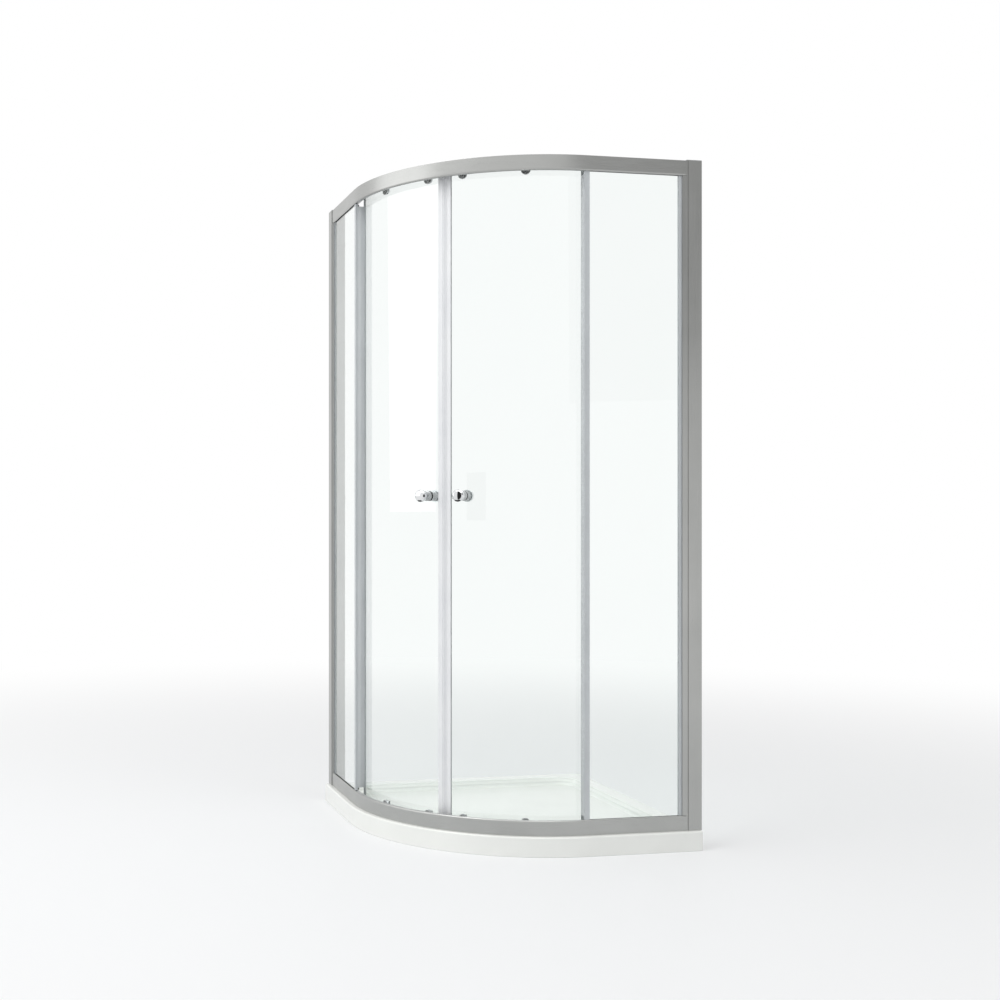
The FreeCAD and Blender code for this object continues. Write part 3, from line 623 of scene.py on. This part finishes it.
# %% The tree that carries a section round the quadrant
def new_tree(name, inputs):
    tree = bpy.data.node_groups.new(name, "GeometryNodeTree")
    for label, kind in [("Geometry", "Geometry"), *inputs]:
        tree.interface.new_socket(name=label, in_out="INPUT", socket_type="NodeSocket" + kind)
    tree.interface.new_socket(name="Geometry", in_out="OUTPUT", socket_type="NodeSocketGeometry")
    return tree, add_node(tree, "NodeGroupInput").outputs


def close_tree(tree, geometry, given):
    """Every tree ends in plain geometry with its own material."""
    realized = add_node(tree, "GeometryNodeRealizeInstances", {0: geometry})
    painted = add_node(tree, "GeometryNodeSetMaterial",
                       {"Geometry": realized, "Material": given["Material"]})
    add_node(tree, "NodeGroupOutput", {"Geometry": painted})


path_samples = 181
sweep_tree, given = new_tree("round_the_quadrant", [
    ("Section", "Object"), ("Straight Run", "Float"), ("Trim", "Float"), ("Material", "Material")])


def calc(operation, a, b=None):
    return math_node(sweep_tree, operation, a, b)


quarter = calc("MULTIPLY", track_r, pi / 2)
total = calc("ADD", quarter, calc("MULTIPLY", given["Straight Run"], 2.0))
used = calc("SUBTRACT", total, calc("MULTIPLY", given["Trim"], 2.0))
along = add_node(sweep_tree, "GeometryNodeSplineParameter").outputs["Factor"]
length = calc("ADD", calc("MULTIPLY", along, used), given["Trim"])
past_run = calc("SUBTRACT", length, given["Straight Run"])
raw_angle = calc("DIVIDE", past_run, track_r)
angle = calc("MINIMUM", calc("MAXIMUM", raw_angle, 0.0), pi / 2)
before_arc = calc("MAXIMUM", calc("MULTIPLY", past_run, -1.0), 0.0)
after_arc = calc("MAXIMUM", calc("SUBTRACT", past_run, quarter), 0.0)
spot = {}
for axis, wave, extra in (("X", "COSINE", after_arc), ("Y", "SINE", before_arc)):
    swing = calc("MULTIPLY", calc(wave, angle), track_r)
    spot[axis] = calc("ADD", calc("SUBTRACT", centre, swing), extra)
line = add_node(sweep_tree, "GeometryNodeCurvePrimitiveLine")
samples = add_node(sweep_tree, "GeometryNodeResampleCurve", {"Curve": line, "Count": path_samples})
on_path = add_node(sweep_tree, "CombineXYZ", spot)
moved = add_node(sweep_tree, "GeometryNodeSetPosition", {"Geometry": samples, "Position": on_path})
level_path = add_node(sweep_tree, "GeometryNodeSetCurveNormal", {"Curve": moved}, mode="Z_UP")
section = add_node(sweep_tree, "GeometryNodeObjectInfo", {"Object": given["Section"]})
carried = add_node(sweep_tree, "GeometryNodeCurveToMesh", {
    "Curve": level_path, "Profile Curve": section.outputs["Geometry"], "Fill Caps": True})
close_tree(sweep_tree, carried, given)
print("nodes in the path tree", len(sweep_tree.nodes))


# %% Running a tree and keeping its mesh
def joined(work):
    bmesh.ops.remove_doubles(work, verts=work.verts, dist=1e-7)
    face_outward(work)


def grown(name, tree, values, start=None):
    """Runs a tree on an object and keeps only the plain mesh."""
    seed = bpy.data.objects.new(name + "_seed", start or bpy.data.meshes.new(name + "_seed"))
    in_scene.link(seed)
    given = [(item.identifier, values[item.name]) for item in tree.interface.items_tree
             if item.in_out == "INPUT" and item.name in values]
    mesh = modified(seed, "NODES", given, node_group=tree)
    bpy.data.objects.remove(seed)
    mesh.name = name
    reworked(mesh, joined)
    return bpy.data.objects.new(name, mesh)


def section_curve(name, points, level, up):
    """A closed section: outward to the right of the path, up counted from level."""
    data = bpy.data.curves.new(name, "CURVE")
    data.dimensions = "3D"
    spline = data.splines.new("POLY")
    spline.points.add(len(points) - 1)
    for point, (r, z) in zip(spline.points, points):
        point.co = (r - track_r, -(level + up * z), 0.0, 1.0)
    spline.use_cyclic_u = True
    obj = bpy.data.objects.new(name, data)
    in_scene.link(obj)
    return obj


def round_quadrant(name, points, run, trim, top, finish, node):
    """The section swept at the foot, or upside down at the head of the frame."""
    level = tray_top + frame_height if top else tray_top
    drawn = section_curve(name + "_section", points, level, -1.0 if top else 1.0)
    obj = grown(name, sweep_tree, {"Section": drawn, "Straight Run": run, "Trim": trim,
                                   "Material": finish})
    bpy.data.objects.remove(drawn)
    return show(obj, "root", finish, [node], 34.0)


# %% [markdown]
# The section has the broad outer face with its rolled lip, the slot for the
# fixed glass, the arm with the bead that the wheels ride, and two C-shaped
# grooves for the end screws.

# %% The two rails
groove_out = (fixed_in + fixed_out) / 2
groove_inn = inner_r + wall + 0.0014 + 0.0021 + 0.002
groove_level = 0.0047
lip_rise, lip_run = 0.0055, 0.0035
bead_half = 0.001


def quarter_turn(steps):
    return [pi / 2 * step / steps for step in range(steps + 1)]


def groove_ribs(middle):
    """The two upright ribs of a screw groove, drawn from the outer one to the inner."""
    rib, deep, reach = 0.0014, wall + 0.006, 0.0021
    return both_ways([(reach + rib, wall), (reach + rib, deep), (reach, deep), (reach, wall)],
                     middle, middle)


lip = [(face_r - lip_run * (1 - cos(a)), rail_height - lip_rise * (1 - sin(a)))
       for a in quarter_turn(6)]
rail_section = rounded(
    [(slot_out, rail_height - lip_rise), (slot_out, wall)] + groove_ribs(groove_out)
    + [(slot_in, wall), (slot_in, rail_height - wall), (web_in, rail_height - wall),
       (web_in, arm_level + wall), (track_r - bead_half, arm_level + wall),
       (track_r - bead_half, bead_tip), (track_r + bead_half, bead_tip),
       (track_r + bead_half, arm_level), (web_in, arm_level), (web_in, wall)]
    + groove_ribs(groove_inn)
    + [(inner_r + wall, wall), (inner_r + wall, wall * 2), (inner_r, wall * 2), (inner_r, 0.0),
       (face_r, 0.0)], 0.0005, 2) + lip
for name, top in (("bottom_rail", False), ("top_rail", True)):
    rail = round_quadrant("bar_" + name, rail_section, side_face, 0.0, top, rail_satin, name)

# %% Covers in the glazing slot between the fixed panes
strip_low, strip_high = rail_height - 0.0065, rail_height - 0.001
strip_in, strip_out, strip_leg = slot_in + 0.0003, face_r - 0.004, 0.0015
strip_section = rounded(
    [(strip_in, strip_low), (strip_in + strip_leg, strip_low),
     (strip_in + strip_leg, strip_high - strip_leg),
     (strip_out - strip_leg, strip_high - strip_leg), (strip_out - strip_leg, strip_low),
     (strip_out, strip_low), (strip_out, strip_high), (strip_in, strip_high)], 0.0004, 2)
trim_length = radians(0.5) * track_r
for tag, top in (("foot", False), ("head", True)):
    strip = round_quadrant("slot_cover_" + tag, strip_section, 0.0, trim_length, top,
                           grey_plastic, "infill_strips")
    print(strip.name, len(strip.data.polygons), "faces")

# %% [markdown]
# ## The tray
#
# The tray is one moulding. Its whole skin is a single closed surface made from
# rings that share one number of points: out and up the edge, over the rolled
# rim, down the drafted basin, through a cove to a floor that falls to the waste,
# and back underneath.

# %% Tray
front_rim, wall_rim = 0.066, 0.054
basin_depth, basin_draft, basin_corner, basin_fall = 0.026, 0.012, 0.06, 0.004
rim_round, cove, outer_corner = 0.005, 0.012, 0.009
floor_level = tray_top - basin_depth
waste_reach = 0.330 * sqrt(0.5)
waste = Vector((centre - waste_reach, centre - waste_reach, 0.0))
seat_z, seat_radius = floor_level - 0.004, 0.058


def quadrant_ring(inset_front, inset_wall, corner, z):
    """The tray's plan, set in from the front and from the walls."""
    radius, edge = tray_radius - inset_front, half - inset_wall
    front = centre - radius
    near, far = front + corner, edge - corner
    ring = []

    def straight(start, end, count):
        ring.extend((start[0] + (end[0] - start[0]) * i / count,
                     start[1] + (end[1] - start[1]) * i / count) for i in range(count))

    def arc(x, y, r, first, count=8, sweep=90):
        for i in range(count):
            a = radians(first + sweep * i / count)
            ring.append((x + r * cos(a), y + r * sin(a)))

    straight((centre, front), (far, front), 10)
    arc(far, near, corner, -90)
    straight((edge, near), (edge, far), 20)
    arc(far, far, corner, 0)
    straight((far, edge), (near, edge), 20)
    arc(near, far, corner, 90)
    straight((front, far), (front, centre), 10)
    arc(centre, centre, radius, 180, 72)
    return [Vector((x, y, z)) for x, y in ring]


def disc_ring(like, radius, z):
    """A circle round the waste whose points lie in the same directions as a ring's."""
    return [waste + Vector((*((p - waste).to_2d().normalized() * radius), z)) for p in like]


def basin_ring(go, z):
    return quadrant_ring(front_rim + go, wall_rim + go, basin_corner - go, z)


rings = [quadrant_ring(0.0012, 0.0012, 0.008, 0.0), quadrant_ring(0.0, 0.0, outer_corner, 0.0012)]
for a in quarter_turn(6):
    inset = rim_round * (1 - cos(a))
    rings.append(quadrant_ring(inset, inset, outer_corner, tray_top - rim_round * (1 - sin(a))))
rings += [basin_ring(rim_round * (sin(a) - 1), tray_top - rim_round * (1 - cos(a)))
          for a in quarter_turn(6)]
rings += [basin_ring(basin_draft * 0.55 + cove * (1 - cos(a)),
                     floor_level + basin_fall + cove * (1 - sin(a)) * 0.9)
          for a in quarter_turn(8)]
edge_ring = rings[-1]
seat = disc_ring(edge_ring, seat_radius, floor_level)
rings += [[p.lerp(q, t) for p, q in zip(edge_ring, seat)] for t in (0.04, 0.3, 0.6, 0.85)]
rings += [seat] + [disc_ring(edge_ring, radius, z) for radius, z in (
    (seat_radius, seat_z), (0.045, seat_z), (0.045, 0.013), (0.075, 0.013), (0.075, 0.0))]
around = len(rings[0])
tray_faces = [face for n in range(len(rings))
              for face in band(n * around, (n + 1) % len(rings) * around, around)]
piece("tray", [([p for ring in rings for p in ring], tray_faces)], "root", tray_white,
      ["shower_tray"], 40.0)
print("tray rings", len(rings), "points round", around)

# %% [markdown]
# ## The waste
#
# The waste sits in the hidden front part of the basin. Its loose cover is a
# shallow polished dome, and below it are the flanged body, two seals and the
# notched nut under the tray.

# %% Waste
stem = seat_z + 0.0028
dome_radius, dome_foot, dome_rise = 0.054, stem + 0.0019, 0.0031
dome = [(0.0, stem + 0.0012), (0.0525, stem + 0.0012), (0.0538, stem + 0.0014),
        (dome_radius, dome_foot)]
dome += [(dome_radius * cos(radians(a)), dome_foot + dome_rise * sin(radians(a)))
         for a in range(10, 90, 10)]
dome += [(0.0, stem + 0.005)]
dome_shells = [lathe([(z, radius) for radius, z in dome], standing(*waste[:2]), 0.0, 64)]
for turn in (0, 120, 240):
    for skip, reach, low in ((0, (0.0375, 0.0409), 0.012), (60, (0.049, 0.0535), stem)):
        dome_shells.append(box_shell(at_angle(turn + skip, waste, 0.0), reach, (-0.004, 0.004),
                                     (low, stem + 0.0013)))
piece("waste_dome", dome_shells, "root", chrome, ["waste_cover"], 35.0)
softened("waste_body", "root", chrome)
softened("waste_nut", "root", white_plastic)
softened("waste_seals", "root", rubber, 0.0002)
print("waste at", [round(v, 4) for v in waste[:2]])

# %% [markdown]
# ## The uprights
#
# A channel is screwed to each wall and a second channel slides in it, so the
# enclosure can be set to a wall that isn't quite upright. The dark line between
# them is the open joint.

# %% Wall and side profiles, caps
for side in sides:
    for stem in ("wall_profile_", "side_profile_"):
        softened(stem + side, "root", upright_satin, 0.0004)
softened("profile_caps", "root", grey_plastic)
for node in ("rail_gaskets", "setting_blocks", "roller_stops"):
    softened(node, "root", rubber)
print("uprights and small blocks softened")

# %% [markdown]
# ## Glass
#
# Each fixed pane is a flat sheet with ground edges. The doors are bent glass, so
# their plan is a thin arc with rounded ends, raised to full height and drilled
# for the rollers, the guides and the knob.

# %% Fixed panes
glass_foot, glass_start = 0.014, 0.002
pane_plan = rounded([(fixed_in, glass_start), (fixed_out, glass_start), (fixed_out, glass_back),
                     (fixed_in, glass_back)], 0.0007)
pair("flat_pane", [upright(pane_plan, glass_foot, side_place)], "root", glass, ["fixed_glass"],
     30.0)
print("fixed pane", round(glass_back - glass_start, 4), "m wide")


# %% Curved panes
def arc_place(r, phi, z):
    return door_place(phi)(r, 0.0, z)


def drilled(obj, cutters):
    """The object with the cutters' shapes taken out of it."""
    tool = shaped("tool", cutters)
    for each in (tool, obj):
        in_scene.link(each)
    obj.data = modified(obj, "BOOLEAN", operation="DIFFERENCE", solver="EXACT", object=tool)
    bpy.data.objects.remove(tool)
    return obj


def hole(phi, radius, level):
    return lathe(solid_bar(door_in - 0.004, door_out + 0.004, radius), door_place(phi), level, 40)


door_foot, edge_round, pane_steps = 0.012, 0.0006, 60
ease = degrees(edge_round / door_out)
door_sweep = door_last - door_first
angles = [door_first + ease + (door_sweep - 2 * ease) * i / pane_steps
          for i in range(pane_steps + 1)]
edges = (door_out - edge_round, door_in + edge_round)
pane_outline = ([(door_out, phi) for phi in angles] + [(r, door_last) for r in edges]
                + [(door_in, phi) for phi in reversed(angles)]
                + [(r, door_first) for r in reversed(edges)])
pane_shell = upright(pane_outline, door_foot, arc_place)
pane_holes = [hole(phi, radius, level)
              for radius, level in ((0.0072, frame_height - carrier_level), (0.0098, guide_level))
              for phi in stations.values()]
pane_holes.append(hole(stations["near"], 0.006, knob_level))
for side, sided in zip(sides, (list, mirror_shells)):
    door = drilled(shaped("curved_pane_" + side, sided([pane_shell])), sided(pane_holes))
    show(door, "door_" + side, glass, ["door_glass_" + side], 30.0)
print("curved pane", round(radians(door_sweep) * door_out, 4), "m along its face, five holes")

# %% [markdown]
# ## Seals
#
# Clear strips grip the glass edges. The two leading edges carry white magnetic
# strips that meet in the middle, with the magnets inside their hollow noses.

# %% Seal strips
seal_foot, strip_foot, fin_foot = rail_height + 0.0003, door_foot + 0.002, roller_reach + 0.003
gap = 0.0001
gasket_in, gasket_out = fixed_in - gap, fixed_out + gap
wing, show_from = 0.0016, side_face - 0.022
gasket_plan = rounded(
    both_ways([(-wing, show_from), (0.0, show_from), (0.0, glass_back + 0.0002)],
              gasket_in, gasket_out)
    + [(gasket_out + wing, side_face), (gasket_in - wing, side_face)], 0.0005)
gasket = [upright(gasket_plan, seal_foot, side_place)]
piece("edge_strips", gasket + mirror_shells(gasket), "root", clear_seal, ["edge_gaskets"])

edge, fin_wing = glass_start, 0.0012
grip_plan = rounded(
    both_ways([(0.0, edge + 0.012), (-fin_wing, edge + 0.012), (-fin_wing, edge - 0.0035)],
              gasket_in, gasket_out)
    + [(gasket_out, edge - gap), (gasket_in, edge - gap)], 0.0005)
root_r, tip_r = gasket_in - fin_wing, door_out + 0.0003
fin_plan = rounded([
    (root_r + gap, edge - 0.0035), (root_r - 0.007, edge - 0.0035),
    (tip_r + 0.0006, edge - 0.0016), (tip_r, edge - 0.0002), (tip_r + 0.0012, edge + 0.0004),
    (root_r - 0.007, edge - 0.0016), (root_r - 0.002, edge + 0.0015),
    (root_r + gap, edge + 0.004)], 0.0003)
pair("fin_strip", [upright(grip_plan, seal_foot, side_place),
                   upright(fin_plan, fin_foot, side_place)], "root", clear_seal, ["panel_seal"])

lip_in, lip_out, lip_wing = door_in - 0.0005, door_out + 0.0003, 0.0013
lip_face = lip_out + lip_wing
trail_plan = rounded(
    [(lip_in, -0.009), (lip_in - lip_wing, -0.009), (lip_in - lip_wing, 0.002), (lip_face, 0.002),
     (lip_face, -0.005), (lip_out, -0.005), (lip_out, 0.0003), (lip_in, 0.0003)], 0.0004)
lip_plan = rounded([(lip_face - 0.0002, 0.0), (lip_face - 0.0002, 0.002),
                    (lip_out + 0.008, 0.0034), (lip_out + 0.008, 0.0024)], 0.0003)
trail_place = door_place(door_last)
pair("trail_strip", [upright(trail_plan, strip_foot, trail_place),
                     upright(lip_plan, fin_foot, trail_place)], "door", clear_seal,
     ["trailing_seal"])
print("strips", round(frame_height - 2 * seal_foot, 3), "m long")

# %% Magnetic strips
lead, half_gap, pinch = 0.009, 0.00015, 0.02
mag_in, mag_out, mag_wing = door_in - 0.0006, door_out + 0.0003, 0.0016
nose_in, nose_out = mag_in - 0.0034, mag_out + 0.0034
nose_plan = rounded(
    [(mag_in - mag_wing, pinch), (mag_in - mag_wing, lead - 0.001), (nose_in, lead - 0.003),
     (nose_in, half_gap + 0.0016), (mag_in - 0.0018, half_gap), (mag_out + 0.0018, half_gap),
     (nose_out, half_gap + 0.0016), (nose_out, 0.0034), (mag_out + 0.0018, 0.0038),
     (mag_out + 0.0018, 0.0049), (nose_out, 0.0053), (nose_out, lead - 0.0024),
     (mag_out + mag_wing, lead - 0.0006), (mag_out + mag_wing, pinch), (mag_out, pinch),
     (mag_out, lead - 0.0004), (mag_in, lead - 0.0004), (mag_in, pinch)], 0.0005)
pair("magnet_strip", [upright(nose_plan, strip_foot, door_place(0.0))], "door", white_seal,
     ["meeting_seal"])
print("magnetic strips meet at the diagonal")

# %% [markdown]
# ## Rollers
#
# Each door has two rollers above and two below. A roller is a grooved acetal
# tyre on a small ball bearing. The upper ones hang on carriers clamped in the
# glass; the lower ones sit on sliders whose buttons unhook the door for
# cleaning.

# %% Wheels
tyre = both_ways([(0.0, 0.0062), (0.0, 0.0108), (0.0003, 0.0114), (0.0009, wheel_radius),
                   (0.0013, 0.0112), (0.0016, 0.0099), (0.0022, wheel_tread)],
                  wheel_in, wheel_out)
race = both_ways([(0.0006, 0.0026), (0.0006, 0.0036), (0.0009, 0.0038), (0.0009, 0.0052),
                   (0.0006, 0.0054), (0.0006, 0.0063)], wheel_in, wheel_out)
for label, phi in stations.items():
    for where, place in (("upper", upside(door_place(phi))), ("lower", door_place(phi))):
        body, tag = where + "_wheel_" + label, where + "_" + label
        pair("tyre_" + tag, [lathe(tyre + tyre[:1], place, wheel_level)], body, wheel_plastic,
             [body])
        pair("bearing_" + tag, [lathe(race + race[:1], place, wheel_level, 40)], body, steel,
             slot_name="wheel_plastic")
print("wheels", 2 * 2 * len(stations))

# %% Carriers, nuts, guides and sliders
nut_seat = door_in - 0.0004
nut_profile = [(nut_seat - depth, radius) for depth, radius in (
    (0.0, 0.0), (0.0, 0.0118), (0.0004, 0.012), (0.0014, 0.012), (0.002, 0.0114),
    (0.0026, 0.0114), (0.0032, 0.0112), (0.0062, 0.0098), (0.0074, 0.0086), (0.0079, 0.0072),
    (0.008, 0.0034), (0.0064, 0.003), (0.0062, 0.0))]
stud_profile = solid_bar(nut_seat - 0.001, door_out + 0.0011, 0.0025)
nut_shells = [lathe(profile, upside(door_place(phi)), carrier_level, steps)
              for phi in stations.values()
              for profile, steps in ((nut_profile, 48), (stud_profile, 24))]
pair("clamp_nuts", nut_shells, "door", chrome, ["carrier_nuts"])
for side in sides:
    door = "door_" + side
    softened("upper_carriers_" + side, door, hardware_grey, 0.0004)
    softened("upper_axles_" + side, door, steel)
    softened("lower_guides_" + side, door, hardware_grey, 0.0004)
    for label in stations:
        node = "lower_slider_" + label + "_" + side
        softened(node, node, grey_plastic, 0.0004)
print("clamp nuts", len(nut_shells), "shells on each door")


# %% [markdown]
# A folded strip under each slider's shank pushes it up again after a press. It
# is a zigzag ribbon with round folds.

# %% Release springs
def ribbon(points, thick):
    """The outline of a bent strip that follows points of (along, up)."""
    left, right = [], []
    for i, here in enumerate(points):
        before, after = Vector(points[max(0, i - 1)]), Vector(points[min(len(points) - 1, i + 1)])
        way = (after - before).normalized()
        side = Vector((-way.y, way.x)) * thick / 2
        left.append(tuple(Vector(here) + side))
        right.append(tuple(Vector(here) - side))
    return left + right[::-1]


spring_foot, spring_top, spring_half, folds = 0.023, slider_level - 0.0038, 0.0031, 4
zigzag = [Vector(((-1) ** n * spring_half,
                  spring_foot + 0.0003 + (spring_top - spring_foot - 0.0006) * n / folds))
          for n in range(folds + 1)]
path = [tuple(zigzag[0])]
for before, here, after in zip(zigzag, zigzag[1:], zigzag[2:]):
    path += bent(before.lerp(here, 0.86), here, here.lerp(after, 0.14), 5)
path.append(tuple(zigzag[-1]))
fold_strip = ribbon(path, 0.00045)
around = len(fold_strip)
quads = [(i, i + 1, around - 2 - i, around - 1 - i) for i in range(around // 2 - 1)]
fold_faces = quads + [tuple(around + i for i in reversed(quad)) for quad in quads]
fold_faces += [(i, around + i, around + (i + 1) % around, (i + 1) % around) for i in range(around)]
for label, phi in stations.items():
    place = door_place(phi)
    verts = [place(r, s, z) for r in (door_in + 0.0002, door_out - 0.0002) for s, z in fold_strip]
    springs = pair("return_spring_" + label, [(verts, fold_faces)], "door", white_plastic,
                   ["release_spring_" + label], 50.0)
    for side, obj in zip(sides, springs):
        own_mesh(obj)
print("springs", round((spring_top - spring_foot) * 1000, 1), "mm high, with", folds, "folds")

# %% [markdown]
# ## Knobs
#
# A knob is turned from brass and chromed: a drum with fine grooves, a wider cap
# with a softly domed front, and a black washer that keeps the metal off the
# glass. The same knob stands on the inside, drawn together by one stud.

# %% Knobs
drum, cap, knob_steps = 0.0145, 0.0175, 64
knob_place = door_place(stations["near"])


def knob_profile(seat_r, way):
    front, back, washer = 0.046, 0.031, 0.0015
    outline = [(washer, 0.0), (washer, drum - 0.0006), (washer + 0.0005, drum)]
    for groove in (0.008, 0.0125, 0.017):
        outline += [(groove, drum), (groove + 0.0004, drum - 0.0007),
                    (groove + 0.0012, drum - 0.0007), (groove + 0.0016, drum)]
    outline += [(back - 0.003, drum), (back - 0.001, drum - 0.0008), (back, drum - 0.0008),
                (back, cap - 0.0008), (back + 0.0008, cap), (front - 0.0058, cap),
                (front - 0.0052, cap - 0.0003), (front - 0.0019, cap - 0.0038),
                (front - 0.0015, cap - 0.0046)]
    face = cap - 0.005
    outline += [(front - 0.0014 * (radius / face) ** 2, radius)
                for radius in (face * t / 6 for t in range(6, -1, -1))]
    return [(seat_r + way * r, radius) for r, radius in outline]


for stem, seat_r, way, node in (("knob_outside", door_out, 1, "knob_outer"),
                                ("knob_inside", door_in, -1, "knob_inner")):
    outline = knob_profile(seat_r, way)
    drum_rings = next(i for i, (r, radius) in enumerate(outline) if radius > drum) - 1
    drum_end = 1 + knob_steps * drum_rings
    for knob in pair(stem, [lathe(outline, knob_place, knob_level, knob_steps)], "door", chrome,
                     [node], 28.0):
        # The grooved drum's points are marked: there the chrome is rougher and its colour is
        # painted darker, as painted shade.
        mark = knob.data.attributes.new("ribbed", "FLOAT", "POINT")
        mark.data.foreach_set("value", [float(i < drum_end) for i in range(len(mark.data))])
washers = [lathe(both_ways([(0.0, 0.0), (0.0, 0.0142), (0.0002, 0.0145)], low, high), knob_place,
                 knob_level)
           for low, high in ((door_in - 0.0015, door_in - 0.0003),
                             (door_out + 0.0001, door_out + 0.0015))]
washers.append(lathe(solid_bar(door_in - 0.0014, door_out + 0.0014, 0.003), knob_place,
                     knob_level, 24))
pair("knob_washers", washers, "door", rubber, ["knob_fittings"])
print("knobs at", round(tray_top + knob_level, 3), "m")

# %% [markdown]
# ## Screws and caps
#
# The same pan-head screw is used many times. It is modelled once with its cross
# recess, and Geometry Nodes puts a copy at each point, turned to that point's
# own direction.

# %% One screw and one cap
stood = standing(0.0, 0.0)


def one_screw(head, thick, shank, length):
    body = [(-length, 0.0), (-length, shank * 0.6), (-length + shank, shank), (0.0, shank)]
    body += [(thick * z, head * radius) for z, radius in (
        (0.0, 0.96), (0.35, 1.0), (0.7, 0.86), (0.93, 0.55), (1.0, 0.25), (1.0, 0.0))]
    arm, wide, deep = head * 0.55, head * 0.14, thick * 0.6
    cross = [box_shell(stood, (thick - deep, thick + 0.001), (-a, a), (-b, b), 0.0002)
             for a, b in ((arm, wide), (wide, arm))]
    obj = drilled(shaped("screw", [lathe(body, stood, 0.0, 24)]), cross)
    in_scene.unlink(obj)
    return obj


def one_cap(radius, high):
    inner = radius - 0.0012
    profile = [(0.0, radius), (high * 0.55, radius), (high * 0.8, radius * 0.93),
               (high * 0.95, radius * 0.75), (high, radius * 0.4), (high, 0.0),
               (high - 0.0013, 0.0), (high - 0.0013, inner), (0.0, inner)]
    return shaped("cap", [lathe(profile, stood, 0.0, 40)])


copies_tree, given = new_tree("copies_at_points", [("Item", "Object"), ("Material", "Material")])
facing = add_node(copies_tree, "GeometryNodeInputNamedAttribute", {"Name": "facing"},
                  data_type="FLOAT_VECTOR")
aim = add_node(copies_tree, "FunctionNodeAlignRotationToVector",
               {"Vector": facing.outputs["Attribute"]}, axis="Z")
item = add_node(copies_tree, "GeometryNodeObjectInfo", {"Object": given["Item"]})
placed = add_node(copies_tree, "GeometryNodeInstanceOnPoints", {
    "Points": given["Geometry"], "Instance": item.outputs["Geometry"], "Rotation": aim})
close_tree(copies_tree, placed, given)
print("nodes in the copying tree", len(copies_tree.nodes))


# %% Put the screws and caps in place
def copies(name, item_obj, spots, finish, node):
    """Copies of an item at (place, facing) spots on the right and mirrored on the left."""
    both = spots + [(swapped(p), swapped(d)) for p, d in spots]
    points = bpy.data.meshes.new(name + "_points")
    points.from_pydata([tuple(p) for p, d in both], [], [])
    direction = points.attributes.new("facing", "FLOAT_VECTOR", "POINT")
    for entry, (p, d) in zip(direction.data, both):
        entry.vector = d
    in_scene.link(item_obj)
    obj = grown(name, copies_tree, {"Item": item_obj, "Material": finish}, points)
    bpy.data.objects.remove(item_obj)
    return show(obj, "root", finish, [node], 34.0)


inward = side_place(0.0, 0.0, 0.0) - side_place(1.0, 0.0, 0.0)
to_the_wall = side_place(0.0, 1.0, 0.0) - side_place(0.0, 0.0, 0.0)
fixing_run = to_wall - wall_profile_reach * 0.7
fixing_spots = [(side_place(profile_r, fixing_run, z), inward) for z in (0.11, 0.95, 1.79)]
end_spots = [(side_place(r, side_face + 0.002, z), to_the_wall)
             for r in (groove_out, groove_inn) for z in (groove_level, frame_height - groove_level)]
copies("lock_screws", one_screw(0.0038, 0.002, 0.0021, 0.012), fixing_spots, steel,
       "fixing_screws")
copies("lock_caps", one_cap(0.0054, 0.0036), fixing_spots, grey_plastic, "fixing_screw_caps")
copies("end_screws", one_screw(0.0038, 0.0022, 0.0021, 0.02), end_spots, steel, "rail_end_screws")
print("screws", 2 * len(fixing_spots) + 2 * len(end_spots), "caps", 2 * len(fixing_spots))

# %% [markdown]
# ## Sizes for the record
#
# The engineering model's box and the shown model's box are written side by side,
# so that a difference shows at once.

# %% Write both boxes and finish
shown_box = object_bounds()
for label, box in (("cad box", cad_box), ("shown box", shown_box)):
    print(label, [[round(v, 4) for v in corner] for corner in box])
